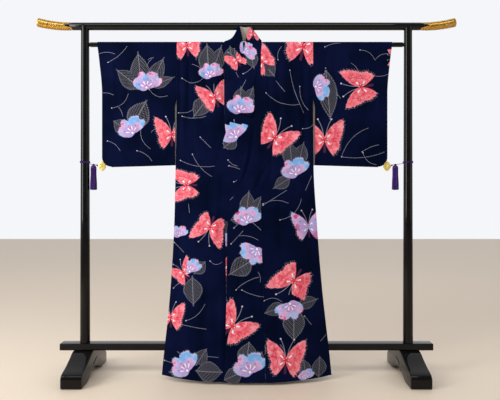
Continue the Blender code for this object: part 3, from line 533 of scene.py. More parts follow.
def local_line(point, rows, leaf):
    """Each point's nearest leaf or twig, which run from one point to another."""
    best = np.full(len(point), 1.0)
    chosen = np.full(len(point), -1)
    for i, row in enumerate(rows):
        along, beside, length = line_place(point, row)
        if leaf:
            wide, long = LEAF_REACH
            away = np.maximum(np.abs(beside) / (row[4] * wide), np.abs(along / length - 0.5) / long)
        else:
            past_end = np.maximum(np.maximum(-TWIG_START - along, along - length), 0) / TWIG_END
            away = np.abs(beside) / TWIG_REACH + past_end
        nearer = away < best
        best[nearer], chosen[nearer] = away[nearer], i
    return chosen


def line_place(point, row):
    """A point's place along a leaf or twig, beside it, and that line's length."""
    start, end = np.array(row[:2]), np.array(row[2:4])
    length = np.linalg.norm(end - start)
    way = (end - start) / length
    off = point - start
    along = off @ way
    beside = off @ np.array([-way[1], way[0]])
    if len(row) == 6:
        share = np.clip(along / length, 0, 1)
        beside = beside - row[4] * 4 * share * (1 - share)
    return along, beside, length


def figure_uv(point, i, row):
    kind, x, z, turn, size = row
    a = math.radians(turn)
    dx, dz = (point[:, 0] - x) / size, (point[:, 1] - z) / size
    u = dx * math.cos(a) + dz * math.sin(a) + KIND_STEP * OVER_KINDS[kind]
    return u, dz * math.cos(a) - dx * math.sin(a) + KIND_STEP * (i % 7)


def leaf_uv(point, i, row):
    along, beside, length = line_place(point, row)
    return beside / row[4] * LEAF_HALF_WIDTH + KIND_STEP * LAID, along / length


def twig_uv(point, i, row):
    along, beside, _ = line_place(point, row)
    return along * TWIG_UNIT + KIND_STEP * LAID, beside * TWIG_UNIT + KIND_STEP * row[5]


def lay_print(made, over, under, twigs):
    """Gives every face corner its place in the nearest figure of each of the three layers."""
    mesh = made.data
    loops = len(mesh.loops)
    flat = np.zeros(loops * 2)
    mesh.uv_layers["cloth"].data.foreach_get("uv", flat)
    flat = flat.reshape(-1, 2)
    totals = np.zeros(len(mesh.polygons), int)
    mesh.polygons.foreach_get("loop_total", totals)
    face_of = np.repeat(np.arange(len(totals)), totals)
    middle = np.stack([np.bincount(face_of, flat[:, k]) / totals for k in (0, 1)], axis=1)
    for name, rows, nearest, place_in in (
        ("over", over, local_over(middle, over), figure_uv),
        ("under", under, local_line(middle, under, True), leaf_uv),
        ("twig", twigs, local_line(middle, twigs, False), twig_uv),
    ):
        place = np.zeros((loops, 2))
        of_loop = nearest[face_of]
        for i, row in enumerate(rows):
            mine = of_loop == i
            if mine.any():
                place[mine] = np.stack(place_in(flat[mine], i, row), axis=1)
        layer = mesh.uv_layers.new(name=name)
        layer.data.foreach_set("uv", place.ravel())


def unpacked(uv):
    """A figure's kind and seed, and the place within it."""
    u, v = uv.part("X"), uv.part("Y")
    kind = (u / KIND_STEP + 0.5).math("FLOOR", u / KIND_STEP + 0.5)
    seed = (v / KIND_STEP + 0.5).math("FLOOR", v / KIND_STEP + 0.5)
    return kind, seed, u - kind * KIND_STEP, v - seed * KIND_STEP


NAVY, INDIGO_WORN = linear(0, 7, 33), linear(5, 13, 47)
TWIG_GREY, KNOB_GREY = linear(160, 158, 176), linear(206, 204, 216)
LEAF_GREY, LEAF_LINE = linear(24, 26, 38), linear(134, 134, 146)
CORAL_RED, CORAL, CORAL_PALE = linear(200, 36, 62), linear(228, 92, 108), linear(238, 150, 162)
# Levels of the clouds in the ink, and the colour at each.
WASHES = ((0.38, linear(206, 48, 72)), (0.45, CORAL), (0.54, linear(232, 118, 132)), (0.62, CORAL_PALE))
PATCHES = (
    (0.36, linear(118, 168, 226)), (0.44, linear(160, 186, 228)), (0.50, linear(184, 162, 212)),
    (0.58, linear(228, 168, 206)), (0.68, linear(190, 84, 142)),
)
LILAC, DUSK, WHITE = linear(168, 146, 202), linear(84, 40, 66), linear(246, 242, 244)
# How far out each figure's edge lies, by direction: degrees, then the share of the figure's size.
WING_EDGE = (
    (-90, 0.08), (-76, 0.13), (-68, 0.36), (-62, 0.60), (-57, 0.70), (-53, 0.64), (-47, 0.69), (-42, 0.62),
    (-31, 0.65), (-18, 0.60), (-8, 0.55), (-2, 0.60), (8, 0.64), (20, 0.73), (27, 0.81), (36, 0.91),
    (44, 1.02), (48, 1.01), (52, 0.84), (60, 0.58), (68, 0.37), (75, 0.21), (85, 0.11), (90, 0.09),
)
PETAL_EDGE = (
    (-180, 0.62), (-160, 0.40), (-125, 0.24), (-90, 0.15), (-60, 0.12), (-20, 0.16), (-2, 0.36), (8, 0.70),
    (20, 0.95), (30, 1.00), (38, 0.88), (44, 0.90), (52, 1.02), (62, 0.97), (72, 0.94), (84, 0.84),
    (92, 0.70), (99, 0.86), (111, 0.95), (122, 0.88), (130, 0.74), (140, 0.82), (156, 0.84), (168, 0.78),
    (180, 0.62),
)


def edge_of(angle, table, turn):
    """How far out a figure's edge lies in a direction, from its table."""
    lowest, span = table[0][0], table[-1][0] - table[0][0]
    return (angle / turn + 0.5).ramp(*(((d - lowest) / span, (r, r, r)) for d, r in table))


def is_kind(kind, number):
    off = (kind - float(number)).size()
    return off.math("LESS_THAN", off, 0.5)


def with_twigs(colour, uv):
    """Twigs: a thin line with a dot at its tip."""
    kind, dotted, x, y = unpacked(uv)
    line = 1.0 - y.size().past(0.0045, 0.005)
    knob = 1.0 - (x * x + y * y).root().past(0.020, 0.009)
    on_twig = is_kind(kind, LAID)
    colour = colour.mixed(on_twig * line * x.past(-0.005, 0.002) * 0.80, TWIG_GREY)
    return colour.mixed(on_twig * knob * dotted * 0.85, KNOB_GREY)


def with_leaves(colour, uv):
    """Leaves: grey, with fine hatching to both sides of a rib and a dotted outline."""
    kind, _, x, y = unpacked(uv)
    t = y.kept()
    half_width = (t * (1.0 - t) * 4.0) ** 1.1 * (1.20 - t * 0.36) * LEAF_HALF_WIDTH
    inside = half_width - x.size() + (y * 96.0).sine() * 0.012
    on_leaf = is_kind(kind, LAID)
    blade = on_leaf * inside.past(0.0, 0.014)
    hatch = ((y - x.size() * 1.1) * 88.0).sine().past(0.15, 0.6)
    hatch = hatch * ((x + y * 0.3) * 150.0).sine().past(-0.9, 0.8)
    rib = 1.0 - x.size().past(0.006, 0.012)
    outline = (1.0 - inside.size().past(0.008, 0.012)) * ((y * 120.0).sine().past(-0.3, 0.5) * 0.7 + 0.3)
    colour = colour.mixed(blade * 0.88, LEAF_GREY)
    colour = colour.mixed((blade * hatch * 0.72).larger(blade * rib * 0.75), LEAF_LINE)
    return colour.mixed(outline * on_leaf * 0.75, LEAF_LINE)


def with_feelers(colour, winged, x, y):
    """A butterfly's two feelers with dots at their tips, and its dark tail."""
    reach = y - 0.08
    feeler = (x.size() - (reach * reach * 0.46 + 0.045)).size()
    thin = (1.0 - feeler.past(0.007, 0.008)) * y.between(0.10, 0.74, 0.02)
    knob_x, knob_y = x.size() - 0.255, y - 0.76
    knob = 1.0 - (knob_x * knob_x + knob_y * knob_y).root().past(0.024, 0.012)
    tail = (1.0 - x.size().past(0.030, 0.030)) * (-y).between(0.10, 0.46, 0.05)
    colour = colour.mixed(winged * tail * 0.75, DUSK)
    colour = colour.mixed(winged * thin * 0.70, TWIG_GREY)
    return colour.mixed(winged * knob * 0.85, KNOB_GREY)


def coral_ink(washed, inward, radius, side_angle):
    """A coral wing: washes, fine streaks, a darker arc and middle, and a pale edge."""
    ink = washed.ramp(*WASHES)
    streak = (side_angle * 34.0 + washed * 7.0).sine().past(0.2, 0.8)
    ink = ink.mixed(streak * 0.20, CORAL_PALE)
    arc = inward.between(0.50, 0.56, 0.03) * washed.past(0.40, 0.12)
    ink = ink.mixed(arc * 0.65, CORAL_RED)
    ink = ink.mixed(inward.past(0.80, 0.16) * 0.45, CORAL_PALE)
    return ink.mixed((1.0 - radius.past(0.06, 0.10)) * 0.85, CORAL_RED)


def petal_ink(soft, washed, radius, angle, seed):
    """A blossom: patches of blue, lilac and pink, paler in places and freckled."""
    ink = soft.ramp(*PATCHES)
    ink = ink.mixed((1.0 - radius.past(0.30, 0.34)) * 0.75, LILAC)
    ink = ink.mixed(washed.past(0.56, 0.14) * 0.35, WHITE)
    freckle = (angle * 7.0 + seed).sine().past(0.80, 0.12) * radius.between(0.42, 0.47, 0.02)
    return ink.mixed(freckle * 0.6, DUSK)


def left_white(wing, blossom, radius, angle, side_angle):
    """The strokes that the ink leaves out in the middle of a butterfly and a blossom."""
    four = 1.0 - (side_angle.size() - 0.70).size().past(0.08, 0.07)
    stroke = four * radius.between(0.12, 0.25, 0.03)
    specks = (angle * 5.0 + 0.8).sine().past(0.80, 0.12) * radius.between(0.06, 0.10, 0.015)
    fan = (angle * 9.0).math("COSINE", angle * 9.0 + 0.6).past(0.62, 0.2) * radius.between(0.14, 0.35, 0.03)
    eye = 1.0 - radius.past(0.045, 0.02)
    return (wing * (stroke + specks)).larger(blossom * (fan * angle.between(0.25, 2.8, 0.1) + eye)).kept()


def with_figures(colour, uv, place):
    """Butterflies and blossoms, each coloured in washes round a few strokes left white."""
    kind, seed, x, y = unpacked(uv)
    names = ("coral", "blossom", "lilac")
    of_coral, of_blossom, of_lilac = (is_kind(kind, OVER_KINDS[name]) for name in names)
    winged = of_coral + of_lilac
    lopsided = (seed * 2.3).sine() * x.math("SIGN", x) * 0.10 + 1.0
    spot = place.node("ShaderNodeCombineXYZ", {}, x, y, seed * 3.7)
    soft = spot.noise(2.3, 1.5, Roughness=0.6)
    washed = spot.noise(5.5, 5.0, Roughness=0.72)
    radius = (x * x + y * y).root()
    side_angle = y.math("ARCTAN2", y, x.size() * lopsided)
    angle = y.math("ARCTAN2", y, x)
    teeth = (angle * 41.0 + seed * 2.0).sine() * 0.018 + (washed - 0.5) * 0.09
    wing_edge = edge_of(side_angle, WING_EDGE, math.pi) + teeth * radius.past(0.3, 0.3)
    petal_edge = edge_of(angle, PETAL_EDGE, math.tau) + teeth * 0.8 * radius.past(0.4, 0.3)
    wing_inside, petal_inside = wing_edge - radius, petal_edge - radius
    wing = winged * wing_inside.past(0.0, 0.022)
    blossom = of_blossom * petal_inside.past(0.0, 0.022)

    colour = with_feelers(colour, winged, x, y)
    dots = (angle * 62.0).sine().past(-0.1, 0.5)
    wing_rim = winged * wing_inside.between(-0.062, -0.024, 0.012)
    rim = wing_rim.larger(of_blossom * petal_inside.between(-0.05, -0.02, 0.012))
    colour = colour.mixed(rim * dots * radius.past(0.35, 0.2) * 0.55, LEAF_LINE)

    petals = petal_ink(soft, washed, radius, angle, seed)
    coral = coral_ink(washed, radius / wing_edge, radius, side_angle)
    colour = colour.mixed(wing, coral.mixed(of_lilac, petals))
    colour = colour.mixed(blossom, petals)
    return colour.mixed(left_white(wing, blossom, radius, angle, side_angle) * 0.95, WHITE)


def print_cotton():
    """Navy cotton with a screen print of butterflies, blossoms with hatched leaves, and thin twigs."""
    made, shader, place = material(
        "printed_cotton", NAVY, 0.88, Specular_IOR_Level=0.04, Sheen_Weight=0.05, Sheen_Roughness=0.4
    )
    uv = {name: place.node("ShaderNodeUVMap", {"uv_map": name}) for name in ("over", "under", "twig")}
    colour = place.noise(6.0, 4.0).ramp((0.40, NAVY), (0.62, INDIGO_WORN))
    colour = with_twigs(colour, uv["twig"])
    colour = with_leaves(colour, uv["under"])
    colour = with_figures(colour, uv["over"], place)
    colour.feeds(shader, "Base Color")
    place.noise(420.0, 2.0).bump(0.25, 0.0006).feeds(shader, "Normal")
    return made


def plain_side():
    """The cloth's wrong side, where the navy shows only as a greige."""
    return material("cotton_wrong_side", linear(176, 170, 164), 0.9, Specular_IOR_Level=0.2)[0]


PRINTED, WRONG_SIDE = print_cotton(), plain_side()


def sheet(name, columns, rows, shape, keep=None):
    """A grid bent to a shape, which gives each point's place in the robe and on the flat cloth."""
    bpy.ops.mesh.primitive_grid_add(x_subdivisions=columns, y_subdivisions=rows, size=1.0)
    made = bpy.context.object
    made.name = made.data.name = name
    mesh = made.data
    flat = np.zeros(len(mesh.vertices) * 3)
    mesh.vertices.foreach_get("co", flat)
    u, v = flat.reshape(-1, 3)[:, 0] + 0.5, flat.reshape(-1, 3)[:, 1] + 0.5
    x, y, z, s, t = (np.broadcast_to(a, u.shape) for a in shape(u, v))
    while mesh.uv_layers:
        mesh.uv_layers.remove(mesh.uv_layers[0])
    layer = mesh.uv_layers.new(name="cloth")
    corner = np.zeros(len(mesh.loops), int)
    mesh.loops.foreach_get("vertex_index", corner)
    layer.data.foreach_set("uv", np.stack([s[corner], t[corner]], axis=1).ravel())
    cut_out = []
    if keep is not None:
        cut_out = [f.index for f in mesh.polygons if not keep(f.center.x + 0.5, f.center.y + 0.5)]
    mesh.vertices.foreach_set("co", np.stack([x, y, z], axis=1).ravel())
    if cut_out:
        bm = bmesh.new()
        bm.from_mesh(mesh)
        bm.faces.ensure_lookup_table()
        bmesh.ops.delete(bm, geom=[bm.faces[i] for i in cut_out], context="FACES")
        bm.to_mesh(mesh)
        bm.free()
    mesh.update()
    return made


def only(made):
    """Selects one piece and nothing else."""
    bpy.ops.object.select_all(action="DESELECT")
    made.select_set(True)
    bpy.context.view_layer.objects.active = made


def cloth(made, node, thickness, area, prints, weld=False):
    """Turns the print outwards, gives the sheet its thickness and print, and hands it over for its node."""
    only(made)
    bpy.ops.object.mode_set(mode="EDIT")
    bpy.ops.mesh.select_all(action="SELECT")
    if weld:
        bpy.ops.mesh.remove_doubles(threshold=0.00002)
    bpy.ops.mesh.normals_make_consistent(inside=False)
    bpy.ops.object.mode_set(mode="OBJECT")
    front = max(made.data.polygons, key=lambda f: -f.center.y * 0.2 + f.center.z * 0.001)
    if front.normal.y > 0:
        made.data.flip_normals()
    made.data.materials.append(PRINTED)
    made.data.materials.append(WRONG_SIDE)
    solid = made.modifiers.new("Wall", "SOLIDIFY")
    solid.thickness = thickness
    solid.offset = 0.0
    solid.material_offset = 1
    bpy.ops.object.modifier_apply(modifier=solid.name)
    lay_print(made, *prints)
    bpy.ops.object.shade_smooth_by_angle(angle=math.radians(50))
    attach(made, "root")
    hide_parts(node)


def joined(node, scattering=((), (), ())):
    """A node's own figures with some scattered ones."""
    return [[*table.get(node, ()), *rows] for table, rows in zip((OVER, UNDER, TWIGS), scattering)]


FRONT_ROWS, ARC_ROWS, BACK_ROWS = 260, 14, 150
PANEL_COLUMNS, NECK_COLUMNS = 46, 12
# The cloth's length over the pole.
ROUND_POLE = 0.040
# The height at which the hem's curve is read, how square that curve is, and how far the back's sags.
HEM_READ, HEM_CURVE, BACK_SAG = 0.01, 2.5, 0.005
BODY_FLAT, BODY_AREA = (0.375, 3.08), 0.86
# Where the back's figures are scattered: x beyond and beside the middle, and length along the cloth.
BACK_PRINT_X, BACK_PRINT_LENGTH = (0.37, -0.02), (1.66, 3.06)


def back_t(z):
    """The flat cloth's length coordinate behind the pole."""
    return POLE_Z + ROUND_POLE + POLE_Z - z


def hem_height(u):
    """The front hem's height, by the place between the robe's sides."""
    return HEM_MIDDLE + (HEM_SIDE - HEM_MIDDLE) * np.abs(u) ** HEM_CURVE


def body_panel(node, side):
    """One width, from the front's hem over the pole to the back's, its front narrower by the neck's cut."""
    columns = PANEL_COLUMNS + NECK_COLUMNS
    rows = FRONT_ROWS + ARC_ROWS + BACK_ROWS
    side_edge = side_left if side > 0 else side_right
    front_edge = seam_left if side > 0 else seam_right
    lay = left_front_y if side > 0 else right_front_y
    neck_share = (front_edge(POLE_Z) - side_edge(POLE_Z)) / (BACK_SEAM_X - side_edge(POLE_Z))

    def shape(u, v):
        column, row = np.rint(u * columns), np.rint(v * rows)
        front_share = np.minimum(column / PANEL_COLUMNS, 1.0)
        beyond = np.maximum(column - PANEL_COLUMNS, 0) / NECK_COLUMNS
        back_share = front_share * neck_share + beyond * (1 - neck_share)
        up = np.clip(row / FRONT_ROWS, 0.0, 1.0)
        down = np.clip((row - FRONT_ROWS - ARC_ROWS) / BACK_ROWS, 0.0, 1.0)
        turn = math.pi * np.clip((row - FRONT_ROWS) / ARC_ROWS, 0.0, 1.0)

        def x_at(share, z, inner):
            outer = side_edge(z) - side * SEAM / 2
            return outer + share * (inner + side * SEAM / 2 - outer)

        hem_front = hem_height(across(x_at(front_share, HEM_READ, front_edge(HEM_READ)), HEM_READ))
        from_middle = np.abs(across(x_at(back_share, HEM_READ, BACK_SEAM_X), HEM_READ))
        hem_back = HEM_SIDE - BACK_SAG * (1 - from_middle**HEM_CURVE)
        z_front = hem_front + up * (POLE_Z - hem_front)
        z_back = POLE_Z + down * (hem_back - POLE_Z)
        x_front = x_at(front_share, z_front, front_edge(z_front))
        x_back = x_at(back_share, z_back, BACK_SEAM_X)
        on_front, on_back = row <= FRONT_ROWS, row >= FRONT_ROWS + ARC_ROWS
        on_arc = ~on_front & ~on_back
        x = np.where(on_front, x_front, x_back)
        y = np.where(on_front, lay(x_front, z_front), back_y(x_back, z_back))
        y = np.where(on_arc, -WRAP * np.cos(turn), y)
        z = np.where(on_front, z_front, z_back)
        z = np.where(on_arc, POLE_Z + WRAP * np.sin(turn), z)
        t = np.where(on_front, z_front, back_t(z_back))
        return x, y, z, x, np.where(on_arc, POLE_Z + ROUND_POLE * turn / math.pi, t)

    def keep(u, v):
        return not (u * columns > PANEL_COLUMNS and v * rows < FRONT_ROWS + ARC_ROWS / 2)

    made = sheet(node + "_cloth", columns, rows, shape, keep)
    corners = zip(sorted(side * x for x in BACK_PRINT_X), BACK_PRINT_LENGTH)
    back = scattered(11 if side > 0 else 12, *corners)
    cloth(made, node, CLOTH, BODY_AREA, joined(node, back))


body_panel("body_right", -1)
body_panel("body_left", 1)


# The two narrow overlap panels, sewn between a front and the collar. The left one's free side is the front
# edge that shows from hem to collar. The right one lies under it and isn't seen.

# Height, then x of a panel's free side.
LEFT_EDGE = (
    (1.545, 0.0706), (1.478, 0.0644), (1.436, 0.0588), (1.391, 0.0454), (1.314, 0.0366), (1.244, 0.0366),
    (1.189, 0.0269), (1.152, 0.0178), (1.064, -0.0053), (0.968, -0.0247), (0.878, -0.0471),
    (0.779, -0.0694), (0.711, -0.0826), (0.660, -0.0872), (0.368, -0.0890), (0.010, -0.0976),
)
RIGHT_EDGE = (
    (1.545, -0.1112), (1.500, -0.1037), (1.270, -0.1027), (1.190, -0.1012), (1.120, -0.0950),
    (0.980, -0.0600), (0.820, -0.0080), (0.700, 0.0330), (0.640, 0.0430), (0.370, 0.0520), (0.010, 0.0620),
)
# The collar below the shoulder, from its cut end up: x and height of its free edge, height on the panel.
COLLAR_LEFT = (
    (-0.1680, 0.757, 0.7135), (-0.1780, 0.810, 0.758), (-0.1740, 0.860, 0.815), (-0.1545, 0.923, 0.887),
    (-0.1255, 1.019, 0.985), (-0.1065, 1.078, 1.055), (-0.0842, 1.147, 1.125), (-0.0643, 1.216, 1.189),
    (-0.0618, 1.277, 1.262), (-0.0509, 1.314, 1.312), (-0.0367, 1.365, 1.370), (-0.0310, 1.398, 1.402),
    (-0.0255, 1.431, 1.436), (-0.0190, 1.463, 1.468), (-0.0126, 1.494, 1.500),
)
COLLAR_RIGHT = (
    (0.1460, 0.735, 0.702), (0.1420, 0.800, 0.762), (0.1170, 0.885, 0.850), (0.0860, 0.975, 0.950),
    (0.0550, 1.060, 1.045), (0.0300, 1.140, 1.125), (0.0210, 1.190, 1.175), (0.0150, 1.230, 1.215),
    (0.0060, 1.300, 1.290), (-0.0020, 1.400, 1.390), (-0.0120, 1.490, 1.482),
)
edge_left, edge_right = through(LEFT_EDGE), through(RIGHT_EDGE)
OVERLAP_COLUMNS, OVERLAP_WIDTH, OVERLAP_SHARE = 34, 0.165, 0.62
NARROWEST, RIGHT_HEM_RISE = 0.0015, 0.004


def overlap_panel(node, side):
    """One panel, from the hem up to where the collar meets the front's seam."""
    seam = seam_left if side > 0 else seam_right
    edge = edge_left if side > 0 else edge_right
    lay = left_front_y if side > 0 else right_front_y
    heights = [row[2] for row in (COLLAR_LEFT if side > 0 else COLLAR_RIGHT)]
    top = max(z for z in heights if abs(edge(z) - seam(z)) > NARROWEST)

    def shape(u, v):
        hem_x = seam(HEM_READ) + u * (edge(HEM_READ) - seam(HEM_READ))
        hem = hem_height(across(hem_x, HEM_READ)) + (0.0 if side > 0 else RIGHT_HEM_RISE)
        z = v * top
        z = z + hem * np.clip(1 - z / heights[0], 0.0, 1.0)
        inner = seam(z) - side * SEAM / 2
        outer = edge(z) + side * SEAM / 2
        x = inner + u * (outer - inner)
        return x, lay(x, z), z, x, z

    made = sheet(node + "_cloth", OVERLAP_COLUMNS, FRONT_ROWS, shape)
    prints = joined(node) if side > 0 else joined(node, scattered(13, (-0.10, 0.02), (0.06, 0.90)))
    cloth(made, node, CLOTH, OVERLAP_WIDTH * top * OVERLAP_SHARE, prints)


overlap_panel("overlap_right", -1)
overlap_panel("overlap_left", 1)


# The sleeves: each is one width of the same cotton, folded over the pole into a flat tube that is open at
# the wrist and on the side of the body. It is sewn along the bottom, with a rounded outer corner.

SLEEVE_OUTER = {-1: -0.692, 1: 0.675}
# Height, then how far the wrist's side draws in.
DRAW_IN = ((1.545, 0.0), (1.450, 0.011), (1.300, 0.021), (0.960, 0.021))
SLEEVE_BOTTOM_INNER, SLEEVE_BOTTOM_OUTER = 0.973, 0.964
SLEEVE_FLAT, SLEEVE_SHARE = (0.36, 1.16), 0.97
SLEEVE_COLUMNS, SLEEVE_ROWS, CORNER_ROWS, UNDER_ROWS = 76, 116, 14, 6
# The share of the height that the close rows at the corner take up.
CORNER_SHARE = 0.06
SLIT_LENGTH, BILLOW = 0.04, 0.003
SLEEVE_CORNER, WRIST_END, SLIT_SHOWS = 0.045, 1.310, 0.008
SLEEVE_CREASES = (
    (0.40, 1.500, 0.41, 1.240, 0.004, 0.012, 0.0036), (0.47, 1.510, 0.46, 1.300, 0.003, 0.012, -0.0034),
    (0.55, 1.450, 0.56, 1.080, -0.004, 0.016, 0.0038), (0.62, 1.500, 0.61, 1.180, 0.003, 0.011, -0.0030),
    (0.36, 1.220, 0.37, 1.000, 0.002, 0.010, -0.0028), (0.50, 1.190, 0.49, 1.005, 0.002, 0.015, 0.0034),
)


def sleeve(node, side):
    """One sleeve, from the bottom up its front, over the pole, down its back and under again."""
    close = np.linspace(0, CORNER_SHARE, CORNER_ROWS)[:-1]
    rise = np.concatenate([close, np.linspace(CORNER_SHARE, 1.0, SLEEVE_ROWS - CORNER_ROWS + 1)])
    side_x = float(side_left(POLE_Z) if side > 0 else side_right(POLE_Z))
    arc_first = SLEEVE_ROWS - 1
    back_first = arc_first + ARC_ROWS
    back_last = back_first + SLEEVE_ROWS - 1
    rows = back_last + UNDER_ROWS

    def shape(u, v):
        row = np.rint(v * rows).astype(int)
        on_back = row >= back_first
        level = np.where(on_back, back_last - row, row)
        on_arc = (row > arc_first) & (row < back_first)
        below = row > back_last
        bottom = SLEEVE_BOTTOM_INNER + (SLEEVE_BOTTOM_OUTER - SLEEVE_BOTTOM_INNER) * u
        z = bottom + rise[np.clip(level, 0, arc_first)] * (POLE_Z - bottom)
        round_part = np.clip(SLEEVE_CORNER - (z - SLEEVE_BOTTOM_OUTER), 0.0, SLEEVE_CORNER)
        corner = SLEEVE_CORNER - np.sqrt(SLEEVE_CORNER**2 - round_part**2)
        outer = SLEEVE_OUTER[side] - side * (through(DRAW_IN)(z) + corner)
        slit = SLIT_SHOWS * eased(ARMHOLE_END, ARMHOLE_END - SLIT_LENGTH, z)
        turn_under = np.clip((row - back_last) / UNDER_ROWS, 0.0, 1.0)
        facing = np.where(below, turn_under, np.where(on_back, 0.0, 1.0))
        inner = side_x + side * (SEAM / 2 + slit * facing)
        x = inner + u * (outer - inner)
        middle = middle_y(np.maximum(z, ARMHOLE_END)) * (1 - u) ** 1.5
        slit_gape = gape(ARMHOLE_END) * (0.45 + 0.55 * eased(0.97, ARMHOLE_END, z))
        inner_gape = np.where(z > ARMHOLE_END, gape(z), slit_gape)
        outer_gape = SIDE_GAPE + (WRAP - SIDE_GAPE) * eased(WRIST_END, POLE_Z, z)
        billow = BILLOW * np.sin(math.pi * u) * eased(1.52, 1.40, z) * eased(0.97, 1.08, z)
        mix = eased(0.45, 0.90, u)
        half = inner_gape * (1 - mix) + outer_gape * mix + billow
        crease = relief(SLEEVE_CREASES, np.abs(x), z) + packing_creases(x, z) * np.sin(math.pi * u)
        crease = crease * eased(bottom, bottom + 0.03, z)
        y = middle + np.where(on_back, half, -half) + crease * np.where(on_back, 0.85, 1.0)
        turn = math.pi * np.clip((row - arc_first) / ARC_ROWS, 0.0, 1.0)
        y = np.where(on_arc, -WRAP * np.cos(turn), y)
        t = np.where(on_back, back_t(z), z)
        t = np.where(on_arc, POLE_Z + ROUND_POLE * turn / math.pi, t)
        z = np.where(on_arc, POLE_Z + WRAP * np.sin(turn), z)
        y = np.where(below, middle + half * np.cos(math.pi * turn_under), y)
        z = np.where(below, z - half * np.sin(math.pi * turn_under), z)
        return x, y, z, x, t

    made = sheet(node + "_cloth", SLEEVE_COLUMNS, rows, shape)
    left, right = sorted((side * 0.68, side * 0.33))
    back = scattered(21 if side > 0 else 22, (left, 1.66), (right, 2.05))
    area = SLEEVE_FLAT[0] * SLEEVE_FLAT[1] * SLEEVE_SHARE
    cloth(made, node, CLOTH, area, joined(node, back), weld=True)


sleeve("sleeve_right", -1)
sleeve("sleeve_left", 1)


# The collar: one straight band of the cotton folded double, sewn to both fronts and round the neck, where
# it stands up. A second, shorter cover is sewn over its upper half, where it would soil.

# The band round the neck, station by station: the point on its free edge and the point on its seam.
NECK_LEFT = (
    ((-0.0071, -0.0165, 1.5295), (0.0696, -0.0140, 1.5320)),
    ((-0.0001, -0.0225, 1.5647), (0.0694, -0.0130, 1.5395)),
    ((0.0114, -0.0285, 1.5985), (0.0680, -0.0092, 1.5458)),
    ((0.0180, -0.0310, 1.6064), (0.0655, -0.0055, 1.5462)),
    ((0.0206, -0.0268, 1.6070), (0.0612, -0.0020, 1.5462)),
    ((0.0178, -0.0226, 1.6070), (0.0565, 0.0004, 1.5462)),
)
NECK_BACK = (
    ((0.0080, -0.0222, 1.6055), (0.0350, 0.0006, 1.5462)),
    ((-0.0080, -0.0222, 1.6040), (-0.0060, 0.0006, 1.5462)),
    ((-0.0230, -0.0222, 1.6065), (-0.0400, 0.0006, 1.5462)),
)
NECK_RIGHT = (
    ((-0.0328, -0.0226, 1.6095), (-0.0580, 0.0004, 1.5462)),
    ((-0.0356, -0.0266, 1.6095), (-0.0620, -0.0022, 1.5468)),
    ((-0.0330, -0.0305, 1.6090), (-0.0680, -0.0050, 1.5468)),
    ((-0.0262, -0.0270, 1.5880), (-0.0810, -0.0080, 1.5460)),
    ((-0.0194, -0.0215, 1.5570), (-0.0985, -0.0118, 1.5424)),
    ((-0.0160, -0.0150, 1.5270), (-0.1085, -0.0138, 1.5320)),
)
COLLAR_CLOTH, OVER_CLOTH = 0.0020, 0.0010
COLLAR_FLAT, OVER_FLAT, BAND_SHARE = (0.105, 1.93), (0.105, 0.95), 0.9
COLLAR_ROWS, OVER_ROWS, COLLAR_COLUMNS = 420, 300, 22
# The cover: how far out and in it lies, and how far and over how many rows its cut end stands off.
COLLAR_LIFT, COVER_INSET = 0.0023, 0.0010
END_LIFT, END_LIFT_ROWS = 0.0040, 5.0
# The stations at which the cover starts and, from the other end, stops.
COVER_START, COVER_STOP = 7, 6


def collar_lines():
    """The collar's free and sewn edges as smooth curves, with a whole number at each measured station."""
    free, seam = [], []
    for rows, edge, lay, side in (
        (COLLAR_LEFT, edge_left, left_front_y, 1),
        (COLLAR_RIGHT, edge_right, right_front_y, -1),
    ):
        free.append([(x, float(lay(x, z)), z) for x, z, _ in rows])
        sewn = [(float(edge(z)) - side * TUCK, z) for _, _, z in rows]
        seam.append([(x, float(lay(x, z)), z) for x, z in sewn])
    neck = NECK_LEFT + NECK_BACK + NECK_RIGHT
    free_line = np.array(free[0] + [row[0] for row in neck] + free[1][::-1])
    seam_line = np.array(seam[0] + [row[1] for row in neck] + seam[1][::-1])
    station = np.arange(len(free_line))
    curves = []
    for line in (free_line, seam_line):
        curves.append([through(np.stack([station, line[:, k]], axis=1)) for k in range(3)])
    return curves, len(free_line) - 1


COLLAR_CURVES, LAST_STATION = collar_lines()


def collar_grid(first, last, rows, raised=0.0, inset=0.0):
    """The band's points from one station to another, raised off the collar and drawn in from its edges."""
    station = np.linspace(first, last, rows + 1)
    share = np.linspace(0, 1, COLLAR_COLUMNS + 1)[None, :, None]
    free, seam = (np.stack([c(station) for c in curve], axis=1) for curve in COLLAR_CURVES)
    on_left = eased(len(COLLAR_LEFT), len(COLLAR_LEFT) - 1.0, station)
    right_start = LAST_STATION - len(COLLAR_RIGHT) + 1
    on_right = eased(right_start - 1.0, right_start, station)
    seam[:, 0] += on_left * (edge_left(seam[:, 2]) - TUCK - seam[:, 0])
    seam[:, 0] += on_right * (edge_right(seam[:, 2]) + TUCK - seam[:, 0])
    grid = free[:, None, :] + share * (seam - free)[:, None, :]
    for weight, lay in ((on_left, left_front_y), (on_right, right_front_y)):
        grid[..., 1] += weight[:, None] * (lay(grid[..., 0], grid[..., 2]) - grid[..., 1])
    out = np.cross(np.gradient(grid, axis=0), np.gradient(grid, axis=1))
    out /= np.linalg.norm(out, axis=2, keepdims=True)
    out *= -np.sign(out[0, 0, 1])
    grid = grid + raised * out
    width = np.linalg.norm(grid[:, -1] - grid[:, 0], axis=1)[:, None, None]
    shift = (0.5 - share) * 2 * inset / width
    return grid + shift * (grid[:, -1:] - grid[:, :1])


